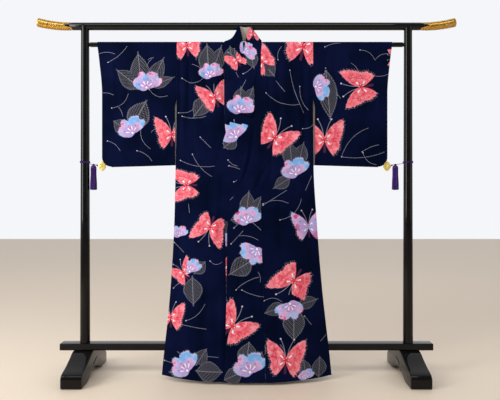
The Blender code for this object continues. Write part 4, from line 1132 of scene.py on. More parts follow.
def collar_band(node, grid, thickness, flat):
    """A band of cloth through a grid of points."""
    rows, columns = grid.shape[0] - 1, grid.shape[1] - 1

    def shape(u, v):
        point = grid[np.rint(v * rows).astype(int), np.rint(u * columns).astype(int)]
        return point[:, 0], point[:, 1], point[:, 2], point[:, 0], point[:, 2]

    made = sheet(node + "_cloth", columns, rows, shape)
    cloth(made, node, thickness, flat[0] * flat[1] * BAND_SHARE, joined("collar"))


collar_band("collar", collar_grid(0, LAST_STATION, COLLAR_ROWS), COLLAR_CLOTH, COLLAR_FLAT)
end_lift = END_LIFT * np.exp(-np.arange(OVER_ROWS + 1) / END_LIFT_ROWS)[:, None, None]
cover_end = LAST_STATION - COVER_STOP
upper_part = collar_grid(COVER_START, cover_end, OVER_ROWS, COLLAR_LIFT + end_lift, COVER_INSET)
collar_band("over_collar", upper_part, OVER_CLOTH, OVER_FLAT)


# The two posts: turned hardwood bars, a little thinner towards the top, where each is hollowed to cradle
# the top rail and bored for the hanging pole. Like all the woodwork they are coated in black lacquer,
# rubbed down and polished.

POST_X, POST_TOP_RADIUS, POST_FOOT_RADIUS = 0.750, 0.0185, 0.0225
RAIL_Z, RAIL_RADIUS, RAIL_HALF = 1.6165, 0.0175, 0.817
BOTTOM_RAIL, BOTTOM_RAIL_Z = (1.719, 0.052, 0.031), 0.118
TENON_RADIUS, TENON_DEPTH = 0.0085, 0.008
# The gap kept where two pieces meet, and how far the posts' lower rims are rounded.
JOINT, POST_RIM = 0.0003, 0.0016
CRADLE_LENGTH, BORE_LENGTH = 0.12, 0.03
SIDES_OF_STAND = ((-1, "right"), (1, "left"))


def lacquer():
    """Black lacquer: nearly a mirror, with the slow waves of a hand-rubbed coat and a little dust in it."""
    made, shader, place = material(
        "black_lacquer", linear(11, 10, 12), 0.1,
        Specular_IOR_Level=0.17, Coat_Weight=0.10, Coat_Roughness=0.03,
    )
    waves, dust = place.noise(16.0, 2.0), place.noise(380.0, 3.0, Roughness=0.6)
    waves.ramp((0.35, linear(7, 6, 8)), (0.7, linear(14, 12, 12))).feeds(shader, "Base Color")
    dull = waves.past(0.35, 0.4) * 0.07 + dust.past(0.60, 0.12) * 0.10 + 0.075
    dull.feeds(shader, "Roughness")
    (waves * 0.7 + dust * 0.02).bump(0.20, 0.0015).feeds(shader, "Normal")
    return made


LACQUER = lacquer()


def opened(name):
    """The new primitive, with its place in its mesh, open in edit mode and nothing selected."""
    bpy.ops.object.transform_apply(location=True, rotation=True, scale=True)
    made = bpy.context.object
    made.name = made.data.name = name
    bpy.ops.object.mode_set(mode="EDIT")
    bpy.ops.mesh.select_all(action="DESELECT")
    return made


def pick(made, kind, test):
    """Selects the faces, edges or corners that pass a test."""
    bpy.ops.mesh.select_mode(type=kind)
    bpy.ops.mesh.select_all(action="DESELECT")
    bm = bmesh.from_edit_mesh(made.data)
    for item in {"FACE": bm.faces, "EDGE": bm.edges, "VERT": bm.verts}[kind]:
        if test(item):
            item.select_set(True)
    bm.select_flush_mode()
    bmesh.update_edit_mesh(made.data)


def level(edge, axis, at, slack=0.0004):
    """Whether both ends of an edge lie at one height, depth or width."""
    return all(abs(v.co[axis] - at) < slack for v in edge.verts)


def closed(made):
    """Merges what lies on itself, turns the faces outwards and leaves edit mode."""
    bpy.ops.mesh.select_all(action="SELECT")
    bpy.ops.mesh.remove_doubles(threshold=0.000005)
    bpy.ops.mesh.normals_make_consistent(inside=False)
    bpy.ops.object.mode_set(mode="OBJECT")


def cut(made, *tools):
    """Cuts other shapes out of a piece and removes them."""
    for tool in tools:
        hollow = made.modifiers.new("Hollow", "BOOLEAN")
        hollow.object, hollow.solver = tool, "EXACT"
        only(made)
        bpy.ops.object.modifier_apply(modifier=hollow.name)
        mesh = tool.data
        bpy.data.objects.remove(tool)
        bpy.data.meshes.remove(mesh)


def fitted(made, node, slot, *surfaces, angle=35):
    """Gives a piece its finish and hands it over for its CAD node."""
    only(made)
    bpy.ops.object.shade_smooth_by_angle(angle=math.radians(angle))
    for surface in surfaces:
        made.data.materials.append(surface)
    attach(made, "root")
    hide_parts(node)


def bisected(axis, places):
    """Cuts what is being edited across one axis, so that its long faces stay short."""
    across_it = [0, 0, 0]
    across_it[axis] = 1
    for at in places:
        bpy.ops.mesh.select_all(action="SELECT")
        bpy.ops.mesh.bisect(plane_co=[at * way for way in across_it], plane_no=across_it)


def post_radius(z):
    low = BOTTOM_RAIL_Z + BOTTOM_RAIL[2]
    return POST_FOOT_RADIUS + (POST_TOP_RADIUS - POST_FOOT_RADIUS) * (z - low) / (RAIL_Z - low)


POLE_END = POST_X - post_radius(POLE_Z) + TENON_DEPTH


def post(side, word):
    low = BOTTOM_RAIL_Z + BOTTOM_RAIL[2] + JOINT
    bpy.ops.mesh.primitive_cone_add(
        vertices=64, radius1=POST_FOOT_RADIUS, radius2=POST_TOP_RADIUS, depth=RAIL_Z - low,
        location=(side * POST_X, 0, (low + RAIL_Z) / 2),
    )
    made = opened("post_" + word + "_turned")
    bisected(2, (0.4, 0.8, 1.2))
    pick(made, "EDGE", lambda e: level(e, 2, low))
    bpy.ops.mesh.bevel(offset=POST_RIM, segments=4, affect="EDGES")
    closed(made)
    tools = []
    for radius, depth, x, z in (
        (RAIL_RADIUS + JOINT, CRADLE_LENGTH, POST_X, RAIL_Z),
        (TENON_RADIUS + JOINT, BORE_LENGTH, POLE_END + JOINT - BORE_LENGTH / 2, POLE_Z),
    ):
        bpy.ops.mesh.primitive_cylinder_add(
            vertices=72, radius=radius, depth=depth, location=(side * x, 0, z), rotation=(0, math.pi / 2, 0)
        )
        tools.append(opened("bore"))
        closed(tools[-1])
    cut(made, *tools)
    fitted(made, "post_" + word, "black_lacquer", LACQUER)


for side, word in SIDES_OF_STAND:
    post(side, word)


# The top rail, the hanging pole and the bottom rail: two round bars and a squared one of the same lacquered
# wood. The pole has a rounded shoulder and a thinner neck at each end, which drops into the post.

SHOULDER = POLE_END - TENON_DEPTH - 0.0055
SHOULDER_RING, SHOULDER_ROUND, RAIL_END_RIM, BOTTOM_RAIL_RIM = 0.0105, 0.0021, 0.0005, 0.0032


def round_bar(name, radius, half, z):
    bpy.ops.mesh.primitive_cylinder_add(
        vertices=64, radius=radius, depth=2 * half, location=(0, 0, z), rotation=(0, math.pi / 2, 0)
    )
    made = opened(name)
    bisected(0, np.linspace(-half, half, 9)[1:-1])
    return made


def on_shoulder(edge):
    """Whether an edge is on the rim where the pole steps down to its neck."""
    x, y, z = edge.verts[0].co
    return abs(abs(x) - SHOULDER) < 1e-5 and level(edge, 0, x) and math.hypot(y, z - POLE_Z) > SHOULDER_RING


top_rail = round_bar("top_rail_turned", RAIL_RADIUS, RAIL_HALF, RAIL_Z)
pick(top_rail, "EDGE", lambda e: level(e, 0, RAIL_HALF) or level(e, 0, -RAIL_HALF))
bpy.ops.mesh.bevel(offset=RAIL_END_RIM, segments=2, affect="EDGES")
closed(top_rail)

pole = round_bar("hanging_pole_turned", POLE_RADIUS, SHOULDER, POLE_Z)
for way in (-1, 1):
    pick(pole, "FACE", lambda f: f.normal.x * way > 0.9)
    bpy.ops.mesh.inset(thickness=POLE_RADIUS - TENON_RADIUS)
    reach = (way * (POLE_END - SHOULDER), 0, 0)
    bpy.ops.mesh.extrude_region_move(TRANSFORM_OT_translate={"value": reach})
pick(pole, "EDGE", on_shoulder)
bpy.ops.mesh.bevel(offset=SHOULDER_ROUND, segments=5, affect="EDGES")
closed(pole)
fitted(pole, "hanging_pole", "black_lacquer", LACQUER)

rail_middle = BOTTOM_RAIL_Z + BOTTOM_RAIL[2] / 2
bpy.ops.mesh.primitive_cube_add(size=1.0, scale=BOTTOM_RAIL, location=(0, 0, rail_middle))
bottom_rail = opened("bottom_rail_squared")
bisected(0, (-0.70, -0.35, 0.0, 0.35, 0.70))
pick(bottom_rail, "EDGE", lambda e: len(e.link_faces) == 2 and e.calc_face_angle() > 1.0)
bpy.ops.mesh.bevel(offset=BOTTOM_RAIL_RIM, segments=5, affect="EDGES")
closed(bottom_rail)
fitted(bottom_rail, "bottom_rail", "black_lacquer", LACQUER)


# The top rail's two ends: upturned tips under sheet brass, gilt and engraved all over with curling stems.
# Each sheet's cut edge comes back along the rail above and below, so that a tongue of black lacquer runs
# out into the gilt.

FINIAL_LENGTH, FINIAL_RISE, FINIAL_RADII = 0.149, 0.018, (0.0179, 0.0200)
FINIAL_START = RAIL_HALF + JOINT
# The share of the tip that stays straight, and how the rest curves up.
STRAIGHT, UPTURN = 0.12, 1.8
# Where the sheet starts on the rail, and how far the tongue of lacquer reaches into it.
GILT_EDGE, TONGUE = 0.8065, 0.040
TIP_ROUND, TIP_HOLLOW, TIP_RIM = 0.0022, 0.0016, 0.0006


def gilt():
    """Gilt sheet with its engraving, and the rail's lacquer where the sheet ends."""
    made, shader, place = material(
        "gilt_over_lacquer", linear(226, 160, 52), 0.2, Specular_IOR_Level=0.24, Coat_Roughness=0.03
    )
    along, y, z = place.part("X"), place.part("Y"), place.part("Z") - RAIL_Z
    x = along.size()
    bend = ((x - FINIAL_START) / FINIAL_LENGTH - STRAIGHT).larger(0.0)
    off_middle = (z - (bend / (1 - STRAIGHT)) ** UPTURN * FINIAL_RISE) / RAIL_RADIUS
    tongue = (1.0 - off_middle.size().past(0.0, 0.95)) ** 1.6 * TONGUE
    sheet_edge = x - tongue - GILT_EDGE
    gold = sheet_edge.past(-0.0004, 0.0008)

    around = off_middle.math("ARCTAN2", off_middle, y / -RAIL_RADIUS)
    end = along.math("SIGN", along) * 3.0
    unrolled = place.node("ShaderNodeCombineXYZ", {}, x * 62.0, around * 1.15, end)
    curls = place.node(
        "ShaderNodeTexWave",
        {"wave_type": "RINGS", "rings_direction": "SPHERICAL"},
        {"Vector": unrolled, "Scale": 1.6, "Distortion": 9.0, "Detail": 2.0, "Detail Scale": 1.3},
    )
    to_edge = {"feature": "DISTANCE_TO_EDGE"}
    leaves = place.node("ShaderNodeTexVoronoi", to_edge, {"Vector": unrolled, "Scale": 2.6})
    shine = place.noise(90.0, 3.0)
    veins = (1.0 - leaves.past(0.02, 0.06)) * shine.past(0.45, 0.1)
    cut_line = (1.0 - curls.past(0.10, 0.22)).larger(veins)
    ring = sheet_edge.between(0.0035, 0.0048, 0.0006)
    plain_band = 1.0 - sheet_edge.between(0.0, 0.0065, 0.0006)
    engraved = (cut_line * plain_band).larger(ring * 0.8)

    middle, bright = (0.50, linear(240, 188, 84)), (0.68, linear(255, 228, 150))
    tone = shine.ramp((0.34, linear(214, 150, 44)), middle, bright)
    tone = tone.mixed(engraved * 0.9, linear(70, 38, 8))
    tone.mixed(1.0 - gold, linear(11, 10, 12)).feeds(shader, "Base Color")
    gold.feeds(shader, "Metallic")
    dull = gold * (engraved * 0.25 + shine * 0.12 + 0.04) + (1.0 - gold) * 0.1
    dull.feeds(shader, "Roughness")
    ((1.0 - gold) * 0.12).feeds(shader, "Coat Weight")
    (gold * (1.0 - engraved * 0.8)).bump(0.45, 0.0009).feeds(shader, "Normal")
    return made


GILT = gilt()
fitted(top_rail, "top_rail", "black_lacquer", GILT)


def rimmed(made, width, segments):
    """Rounds a piece's sharp edges a little."""
    rim = made.modifiers.new("Rim", "BEVEL")
    rim.width, rim.segments, rim.limit_method, rim.angle_limit = width, segments, "ANGLE", math.radians(50)
    bpy.ops.object.modifier_apply(modifier=rim.name)


def finial(side, word):
    """A round tip drawn out ring by ring, each a little larger and higher than the last."""
    share = np.linspace(0, 1, 15)
    bend = np.clip((share - STRAIGHT) / (1 - STRAIGHT), 0, 1)
    x = FINIAL_START + FINIAL_LENGTH * share
    z = RAIL_Z + FINIAL_RISE * bend**UPTURN
    radius = FINIAL_RADII[0] + (FINIAL_RADII[1] - FINIAL_RADII[0]) * share
    bpy.ops.mesh.primitive_circle_add(
        vertices=64, radius=radius[0], fill_type="NGON",
        location=(x[0], 0, z[0]), rotation=(0, math.pi / 2, 0),
    )
    made = opened("finial_" + word + "_gilt")
    bpy.ops.mesh.select_all(action="SELECT")
    slope = np.arctan(np.gradient(z, x))
    for i in range(1, len(x)):
        step = (x[i] - x[i - 1], 0, z[i] - z[i - 1])
        bpy.ops.mesh.extrude_region_move(TRANSFORM_OT_translate={"value": step})
        here = (x[i], 0, z[i])
        grown = radius[i] / radius[i - 1]
        bpy.ops.transform.resize(value=(grown, grown, grown), center_override=here)
        bpy.ops.transform.rotate(value=slope[i] - slope[i - 1], orient_axis="Y", center_override=here)
    bpy.ops.mesh.inset(thickness=TIP_ROUND)
    bpy.ops.mesh.extrude_region_move(TRANSFORM_OT_translate={"value": (-TIP_HOLLOW, 0, 0)})
    closed(made)
    rimmed(made, TIP_RIM, 3)
    if side < 0:
        bpy.ops.object.mode_set(mode="EDIT")
        bpy.ops.mesh.select_all(action="SELECT")
        bpy.ops.transform.resize(value=(-1, 1, 1), center_override=(0, 0, 0))
        closed(made)
    fitted(made, "finial_" + word, "gilt_metal", GILT)


for side, word in SIDES_OF_STAND:
    finial(side, word)


# The two feet: thick blocks sawn to a sloping outline, arched underneath between two pads, with rounded
# rims and a comma cut into both cheeks. They carry the bottom rail in a flat seat.

FOOT_WIDTH, FOOT_LENGTH, FOOT_TOE, FOOT_ARCH, FOOT_RIM = 0.092, 0.374, 0.060, 0.036, 0.0085
# The toe's rounded corner: how deep and how high it is.
TOE_ROUND = (0.024, 0.026)
# The slope from the toe up to the seat: depth and height.
FOOT_SLOPE = ((0.140, 0.0705), (0.120, 0.0775), (0.097, 0.0875), (0.075, 0.0975), (0.056, 0.1075))
# The comma: depth and height of its head and its tail, half its thickness, how far it bows and is cut in.
COMMA_HEAD, COMMA_TAIL, COMMA_THICK = (-0.026, 0.0520), (0.046, 0.0735), 0.0064
COMMA_BOW, COMMA_DEPTH = 0.0065, 0.004


def foot_outline():
    """The foot's side view, front half, as depth and height from the middle underneath."""
    half, top = FOOT_LENGTH / 2, BOTTOM_RAIL_Z - JOINT
    crown = ((0.0, 0.0), (0.014, 0.001), (0.024, 0.004), (0.030, 0.012))
    arch = [(y, FOOT_ARCH - drop) for y, drop in crown]
    for angle in np.radians(np.linspace(78, 8, 8)):
        arch.append((0.034 + 0.066 * (1 - math.sin(angle)), 0.031 * math.sin(angle) + 0.001))
    pad = [(0.110, 0.0), (half - 0.0035, 0.0), (half, 0.0035)]
    deep, high = TOE_ROUND
    low = FOOT_TOE - deep
    toe = [(half, low)]
    for angle in np.radians((12, 26, 40, 54, 68)):
        toe.append((half - deep * (1 - math.cos(angle)), low + high * math.sin(angle)))
    toe.append((half - 0.030, FOOT_TOE + 0.0055))
    return arch + pad + toe + list(FOOT_SLOPE) + [(0.038, top - 0.002), (0.030, top)]


def shaped(name, outline, width):
    """A board of a given outline, seen from the side."""
    bpy.ops.mesh.primitive_circle_add(vertices=len(outline), radius=0.1, fill_type="NGON")
    made = opened(name)
    bm = bmesh.from_edit_mesh(made.data)
    for vertex, (x, y, z) in zip(bm.verts, outline):
        vertex.co = (x, y, z)
    bmesh.update_edit_mesh(made.data)
    bpy.ops.mesh.select_all(action="SELECT")
    bpy.ops.mesh.extrude_region_move(TRANSFORM_OT_translate={"value": (width, 0, 0)})
    return made


def comma_cutter(x):
    """The comma as a flat block, half in the foot's cheek and half out of it."""
    (head_y, head_z), (tail_y, tail_z) = COMMA_HEAD, COMMA_TAIL
    upper, lower = [], []
    for share in np.linspace(0, 1, 13):
        y = head_y + (tail_y - head_y) * share
        z = head_z + (tail_z - head_z) * share + COMMA_BOW * math.sin(math.pi * share)
        half = COMMA_THICK * (1 - share) ** 0.7 * math.sqrt(min(1.0, share / 0.10 + 0.02))
        upper.append((x - COMMA_DEPTH, y, z + half))
        lower.append((x - COMMA_DEPTH, y, z - half))
    made = shaped("comma", upper + lower[-2::-1], 2 * COMMA_DEPTH)
    closed(made)
    return made


def foot(side, word):
    front = foot_outline()
    outline = [(-y, z) for y, z in front] + [(y, z) for y, z in reversed(front[1:])]
    x = side * POST_X - FOOT_WIDTH / 2
    made = shaped("foot_" + word + "_sawn", [(x, y, z) for y, z in outline], FOOT_WIDTH)
    pick(made, "EDGE", lambda e: level(e, 0, x) or level(e, 0, x + FOOT_WIDTH))
    bpy.ops.mesh.bevel(offset=FOOT_RIM, segments=6, affect="EDGES", clamp_overlap=True)
    closed(made)
    cut(made, comma_cutter(x), comma_cutter(x + FOOT_WIDTH))
    fitted(made, "foot_" + word, "black_lacquer", LACQUER)


for side, word in SIDES_OF_STAND:
    foot(side, word)


# The tie cords: purple silk, two strands twisted, wound twice and a half round each post and knotted into
# the tassel's loop, so that they draw the clip on the sleeve's corner outwards.

CORD_RADIUS, CORD_TURNS, CORD_Z, STEPS_A_TURN = 0.0015, 2.5, 0.990, 40
TASSEL_X, TASSEL_TOP, TASSEL_END, TASSEL_RADIUS = {-1: -0.711, 1: 0.691}, 0.978, 0.855, 0.0140
# How far off the post the cord lies, and where it meets the tassel: beside its axis and below its top.
CORD_CLEAR, CORD_MEETS = 0.0008, (0.0070, 0.003)
STRAND_RADIUS, STRAND_SPREAD, TWIST_LENGTH = 0.00080, 0.00068, 0.0060
STRANDS, STRAND_SIDES, STRAND_STEP = 2, 6, 0.0010


def silk():
    """Lustrous purple thread, shaded by the piece's own length coordinate."""
    made, shader, place = material(
        "purple_silk", linear(52, 10, 104), 0.5,
        Specular_IOR_Level=0.3, Sheen_Weight=0.12, Sheen_Roughness=0.35,
    )
    uv = place.node("ShaderNodeUVMap", {"uv_map": "thread"})
    ply = (uv.part("X") * 6.283 + uv.part("Y") * 1400.0).sine()
    soft = place.noise(160.0, 3.0)
    tone = soft.ramp((0.30, linear(34, 5, 74)), (0.52, linear(54, 12, 108)), (0.75, linear(84, 32, 142)))
    tone.mixed(ply.past(-1.0, 1.6) * 0.30, linear(30, 8, 62)).feeds(shader, "Base Color")
    ply.bump(0.5, 0.0002).feeds(shader, "Normal")
    return made


SILK = silk()


def twisted(name, line):
    """Strands twisted round a line, as one mesh with the length along it in its UVs."""
    line = np.array(line, float)
    step = np.linalg.norm(np.diff(line, axis=0), axis=1)
    reach = np.concatenate([[0], np.cumsum(step)])
    even = np.linspace(0, reach[-1], max(8, round(reach[-1] / STRAND_STEP)))
    path = np.stack([np.interp(even, reach, line[:, k]) for k in range(3)], axis=1)
    ahead = np.gradient(path, axis=0)
    ahead /= np.linalg.norm(ahead, axis=1, keepdims=True)
    out = np.cross(ahead, (0.0, 0.13, 1.0))
    out /= np.linalg.norm(out, axis=1, keepdims=True)
    up = np.cross(out, ahead)
    bm = bmesh.new()
    layer = bm.loops.layers.uv.new("thread")
    corners = [j * math.tau / STRAND_SIDES for j in range(STRAND_SIDES)]
    for k in range(STRANDS):
        turn = even / TWIST_LENGTH * math.tau + k * math.tau / STRANDS
        centre = path + STRAND_SPREAD * (np.cos(turn)[:, None] * out + np.sin(turn)[:, None] * up)
        rings = []
        for c, o, n in zip(centre, out, up):
            off = [STRAND_RADIUS * (math.cos(a) * o + math.sin(a) * n) for a in corners]
            rings.append([bm.verts.new(c + away) for away in off])
        for i in range(len(path) - 1):
            for j in range(STRAND_SIDES):
                nxt = (j + 1) % STRAND_SIDES
                face = bm.faces.new((rings[i][j], rings[i][nxt], rings[i + 1][nxt], rings[i + 1][j]))
                places = ((j, i), (j + 1, i), (j + 1, i + 1), (j, i + 1))
                for loop, (u, v) in zip(face.loops, places):
                    loop[layer].uv = (u / STRAND_SIDES, even[v])
        bm.faces.new(rings[0][::-1])
        bm.faces.new(rings[-1])
    bmesh.ops.recalc_face_normals(bm, faces=bm.faces)
    mesh = bpy.data.meshes.new(name)
    bm.to_mesh(mesh)
    bm.free()
    made = bpy.data.objects.new(name, mesh)
    bpy.context.collection.objects.link(made)
    return made


def tie_cord(side, word):
    radius = post_radius(CORD_Z) + CORD_RADIUS + CORD_CLEAR
    leave = -math.acos(radius / abs(POST_X - abs(TASSEL_X[side])))
    steps = int(CORD_TURNS * STEPS_A_TURN)
    line = []
    for i in range(steps + 1):
        angle = leave - (steps - i) * math.tau / STEPS_A_TURN
        drop = i * (2 * CORD_RADIUS + JOINT) / STEPS_A_TURN
        line.append((side * (POST_X - radius * math.cos(angle)), radius * math.sin(angle), CORD_Z - drop))
    beside, below = CORD_MEETS
    line.append((TASSEL_X[side] + side * beside, 0.0, TASSEL_TOP - below))
    made = twisted("tie_cord_" + word + "_silk", line)
    fitted(made, "tie_cord_" + word, "purple_thread", SILK, angle=80)


for side, word in SIDES_OF_STAND:
    tie_cord(side, word)


# The tassels: a loop and a wound head over a skirt of many fine silk threads, cut level at the end. The
# cord's end is knotted into the loop, and the tassel hangs free beside the post.

# Rings of threads: how far out, and how many.
THREAD_RINGS, THREAD_SIDES = ((1.0, 46), (0.80, 34), (0.50, 20)), 4
THREAD_RADIUS, THREAD_WANDER, THREAD_UNEVEN = 0.00098, 0.0004, 0.0011
# The head above the skirt: height and share of the radius.
HEAD_HEIGHT = 0.021
HEAD = (
    (0.0, 0.90), (0.002, 1.0), (0.005, 1.0), (0.009, 0.88), (0.013, 0.62), (0.0145, 0.46), (0.016, 0.40),
    (0.018, 0.46), (0.0195, 0.44), (HEAD_HEIGHT, 0.26),
)
SHOULDER_Z = TASSEL_TOP - HEAD_HEIGHT


def tassel_head(side, word):
    """The bound head, drawn up ring by ring from the skirt."""
    bpy.ops.mesh.primitive_circle_add(
        vertices=28, radius=TASSEL_RADIUS - 0.0008, fill_type="NGON",
        location=(TASSEL_X[side], 0, SHOULDER_Z),
    )
    made = opened("tassel_" + word + "_silk")
    bpy.ops.mesh.select_all(action="SELECT")
    last = 1.0
    for (low, _), (high, share) in zip(HEAD, HEAD[1:]):
        bpy.ops.mesh.extrude_region_move(TRANSFORM_OT_translate={"value": (0, 0, high - low)})
        grown = share / last
        here = (TASSEL_X[side], 0, SHOULDER_Z + high)
        bpy.ops.transform.resize(value=(grown, grown, 1), center_override=here)
        last = share
    closed(made)
    while made.data.uv_layers:
        made.data.uv_layers.remove(made.data.uv_layers[0])
    return made


def thread_rings(bm, side, share, angle, draw):
    """One thread's corners, ring by ring from the head down to its cut end."""
    root = (TASSEL_RADIUS - 0.0016) * share
    thick = THREAD_RADIUS * draw.uniform(0.92, 1.08)
    wander = draw.uniform(-THREAD_WANDER, THREAD_WANDER, 2)
    end = TASSEL_END + 0.0026 * share**2 + draw.uniform(0, THREAD_UNEVEN)
    turns = [j * math.tau / THREAD_SIDES + angle for j in range(THREAD_SIDES)]
    rings = []
    for down in np.linspace(0, 1, 7):
        belly = 1.0 - 0.08 * math.sin(math.pi * min(1.0, down * 1.6)) + 0.20 * down
        x = TASSEL_X[side] + root * belly * math.cos(angle) + wander[0] * math.sin(math.pi * down)
        y = root * belly * math.sin(angle) + wander[1] * math.sin(math.pi * down)
        z = SHOULDER_Z + 0.0006 + (end - SHOULDER_Z) * down
        rings.append([bm.verts.new((x + thick * math.cos(a), y + thick * math.sin(a), z)) for a in turns])
    return rings


def tassel(side, word):
    draw = np.random.default_rng(40 + side)
    made = tassel_head(side, word)
    bm = bmesh.new()
    bm.from_mesh(made.data)
    layer = bm.loops.layers.uv.new("thread")
    for face in bm.faces:
        for loop in face.loops:
            x, y, z = loop.vert.co
            loop[layer].uv = (math.atan2(y, x - TASSEL_X[side]) * 8 / math.tau, z)
    threads = []
    for share, count in THREAD_RINGS:
        threads += [(share, (i + 0.5 * share) / count * math.tau) for i in range(count)]
    for k, (share, angle) in enumerate(threads):
        rings = thread_rings(bm, side, share, angle, draw)
        for upper, lower in zip(rings, rings[1:]):
            for j in range(THREAD_SIDES):
                nxt = (j + 1) % THREAD_SIDES
                face = bm.faces.new((upper[j], lower[j], lower[nxt], upper[nxt]))
                for loop in face.loops:
                    loop[layer].uv = (k * 0.37 + j / THREAD_SIDES, loop.vert.co.z)
        bm.faces.new(rings[0])
        bm.faces.new(rings[-1][::-1])
    bm.to_mesh(made.data)
    bm.free()
    fitted(made, "tassel_" + word, "purple_thread", SILK, angle=50)


for side, word in SIDES_OF_STAND:
    tassel(side, word)


# The sleeve clips: two four-lobed leaves of pale gilt sheet, pressed into a flower and pinned through the
# middle, and a darker arm of brass from the pin to the tassel's loop.

CLIP_X, CLIP_Z = {-1: -0.6705, 1: 0.6525}, 0.967
CLIP_HALF, CLIP_PLATE = (0.0165, 0.0225), 0.0014
CAD_CLOTH = 0.0016
# Half the height of what the leaves grip, from the sleeve's middle.
GRIP = SIDE_GAPE + CAD_CLOTH / 2 + JOINT
LEAF_RIDGE, LEAF_DISH, LEAF_RIM = 0.0010, 0.0008, 0.0003
PIN_RADIUS, PIN_RISE, PIN_OFF, ARM_RADIUS = 0.0043, 0.0018, 0.003, 0.0022


def pale_gilt():
    made, shader, place = material(
        "pale_gilt_sheet", linear(240, 218, 120), 0.32, Metallic=0.55, Specular_IOR_Level=0.5
    )
    veil = place.noise(120.0, 3.0)
    pale, bright = (0.50, linear(246, 224, 128)), (0.72, linear(252, 244, 188))
    veil.ramp((0.30, linear(232, 188, 72)), pale, bright).feeds(shader, "Base Color")
    (veil * 0.22 + 0.20).feeds(shader, "Roughness")
    veil.bump(0.25, 0.0004).feeds(shader, "Normal")
    return made


def aged_brass():
    made, shader, place = material("aged_brass", linear(120, 82, 30), 0.36, Metallic=0.9)
    patina = place.noise(240.0, 3.0)
    patina.ramp((0.35, linear(44, 27, 10)), (0.62, linear(138, 96, 34))).feeds(shader, "Base Color")
    (patina * 0.3 + 0.22).feeds(shader, "Roughness")
    return made


PALE_GILT, AGED_BRASS = pale_gilt(), aged_brass()


def leaf(side, facing):
    """One four-lobed leaf, dished, with a rib in each lobe."""
    off = GRIP + CLIP_PLATE / 2
    upright = (math.pi / 2, 0, 0)
    bpy.ops.mesh.primitive_circle_add(vertices=48, radius=1.0, fill_type="NGON", rotation=upright)
    made = opened("leaf")
    bpy.ops.mesh.select_all(action="SELECT")
    for share in (0.30, 0.28, 0.26):
        bpy.ops.mesh.inset(thickness=share * 0.8)
    bm = bmesh.from_edit_mesh(made.data)
    for vertex in bm.verts:
        angle = math.atan2(vertex.co.z, vertex.co.x)
        radius = min(1.0, math.hypot(vertex.co.x, vertex.co.z))
        lobe = 0.88 + 0.12 * abs(math.cos(2 * angle)) ** 0.8
        lobe = 1.0 + (lobe - 1.0) * radius
        ridge = LEAF_RIDGE * math.cos(4 * angle) * radius * (1.0 - radius) * 3.0
        dish = LEAF_DISH * (1.0 - radius**2)
        vertex.co = (
            CLIP_X[side] + CLIP_HALF[0] * lobe * radius * math.cos(angle),
            facing * (off + dish * 0.5 + ridge * 0.5),
            CLIP_Z + CLIP_HALF[1] * lobe * radius * math.sin(angle),
        )
    bmesh.update_edit_mesh(made.data)
    bpy.ops.mesh.normals_make_consistent(inside=False)
    bpy.ops.object.mode_set(mode="OBJECT")
    wall = made.modifiers.new("Plate", "SOLIDIFY")
    wall.thickness, wall.offset = CLIP_PLATE * 0.8, 0.0
    bpy.ops.object.modifier_apply(modifier=wall.name)
    rimmed(made, LEAF_RIM, 2)
    made.data.materials.append(PALE_GILT)
    return made


def clip_pin(pin_x):
    """The pin through both leaves, its two heads drawn out a little."""
    bpy.ops.mesh.primitive_cylinder_add(
        vertices=28, radius=PIN_RADIUS, depth=2 * (GRIP + CLIP_PLATE + PIN_RISE),
        location=(pin_x, 0, CLIP_Z), rotation=(math.pi / 2, 0, 0),
    )
    pin = opened("pin")
    pick(pin, "FACE", lambda f: abs(f.normal.y) > 0.9)
    bpy.ops.mesh.inset(thickness=0.0014, use_individual=True)
    bpy.ops.transform.resize(value=(1, 1.12, 1), center_override=(pin_x, 0, CLIP_Z))
    closed(pin)
    pin.data.materials.append(PALE_GILT)
    return pin


def clip_arm(low, high):
    """The arm between two points, a ball drawn out and thicker in its middle."""
    bpy.ops.mesh.primitive_uv_sphere_add(segments=20, ring_count=12, radius=ARM_RADIUS)
    arm = opened("arm")
    bm = bmesh.from_edit_mesh(arm.data)
    for vertex in bm.verts:
        share = (vertex.co.x / ARM_RADIUS + 1) / 2
        middle = low + (high - low) * share
        girth = 0.72 + 0.55 * math.sin(math.pi * share)
        vertex.co = (middle[0], vertex.co.y * girth * 0.9, middle[2] + vertex.co.z * girth * 1.35)
    bmesh.update_edit_mesh(arm.data)
    closed(arm)
    arm.data.materials.append(AGED_BRASS)
    return arm


def clip(side, word):
    made = leaf(side, -1)
    pin_x = CLIP_X[side] + side * PIN_OFF
    low = np.array((TASSEL_X[side] - side * 0.0068, 0.0, TASSEL_TOP - 0.0045))
    more = (leaf(side, 1), clip_pin(pin_x), clip_arm(low, np.array((pin_x, 0.0, CLIP_Z))))
    only(made)
    for piece in more:
        piece.select_set(True)
    bpy.ops.object.join()
    made.name = made.data.name = "clip_" + word + "_leaves"
    fitted(made, "clip_" + word, "pale_gilt", angle=40)


for side, word in SIDES_OF_STAND:
    clip(side, word)


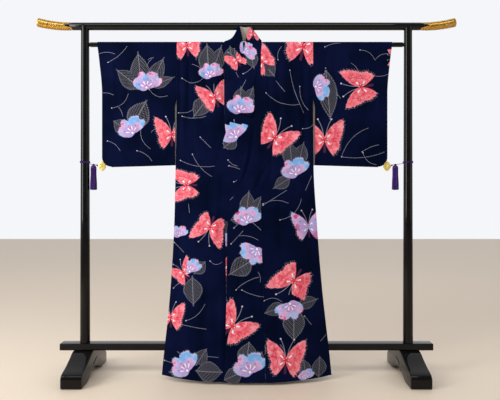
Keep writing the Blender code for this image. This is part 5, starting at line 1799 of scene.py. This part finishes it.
# The room: a plain pale floor, soft studio light from above and both sides, and a white surround. The
# camera looks straight at the robe from in front, level with its middle.

# Name, place, turn in degrees, width and height, power.
LIGHTS = (
    ("light_above", (-0.3, -2.20, 3.4), (40, 0, 0), (4.2, 0.8), 42),
    ("light_left", (-2.9, -1.8, 2.0), (84, 0, -58), (1.2, 2.8), 96),
    ("light_right", (3.3, -1.9, 1.9), (84, 0, 60), (0.8, 2.6), 13),
)
FLOOR_SIZE, FLOOR_Z = 16, -0.001
CAMERA_PLACE, CAMERA_LENS, SENSOR_WIDTH = (0.016, -2.30, 0.810), 35.64, 36.0


def room():
    bpy.ops.mesh.primitive_plane_add(size=1.0, location=(0, 0, FLOOR_Z))
    floor = bpy.context.object
    floor.name = "floor"
    floor.scale = (FLOOR_SIZE, FLOOR_SIZE, 1)
    bpy.ops.object.transform_apply(location=True, rotation=True, scale=True)
    floor.data.materials.append(material("pale_floor", linear(222, 205, 184), 0.55)[0])
    for name, place, turn, size, power in LIGHTS:
        turned = [math.radians(degrees) for degrees in turn]
        bpy.ops.object.light_add(type="AREA", location=place, rotation=turned)
        light = bpy.context.object
        light.name = name
        light.data.shape = "RECTANGLE"
        light.data.size, light.data.size_y = size
        light.data.energy = power


def surround():
    """White all round, darker behind the viewer so that the lacquer stays black."""
    world = bpy.data.worlds.new("studio")
    world.use_nodes = True
    shine = world.node_tree.nodes["Background"]
    shine.inputs["Color"].default_value = (0.96, 0.97, 1.0, 1.0)
    where = Socket(world.node_tree, world.node_tree.nodes.new("ShaderNodeTexCoord").outputs["Generated"])
    (where.part("Y").past(-0.6, 0.9) * 0.68 + 0.27).feeds(shine, "Strength")
    bpy.context.scene.world = world
    bpy.context.scene.view_settings.view_transform = "Standard"


room()
surround()
bpy.ops.object.camera_add(location=CAMERA_PLACE, rotation=(math.pi / 2, 0, 0))
camera = bpy.context.object
camera.data.sensor_width = SENSOR_WIDTH
camera.data.lens = CAMERA_LENS
camera.data.clip_start = 0.05
bpy.context.scene.camera = camera
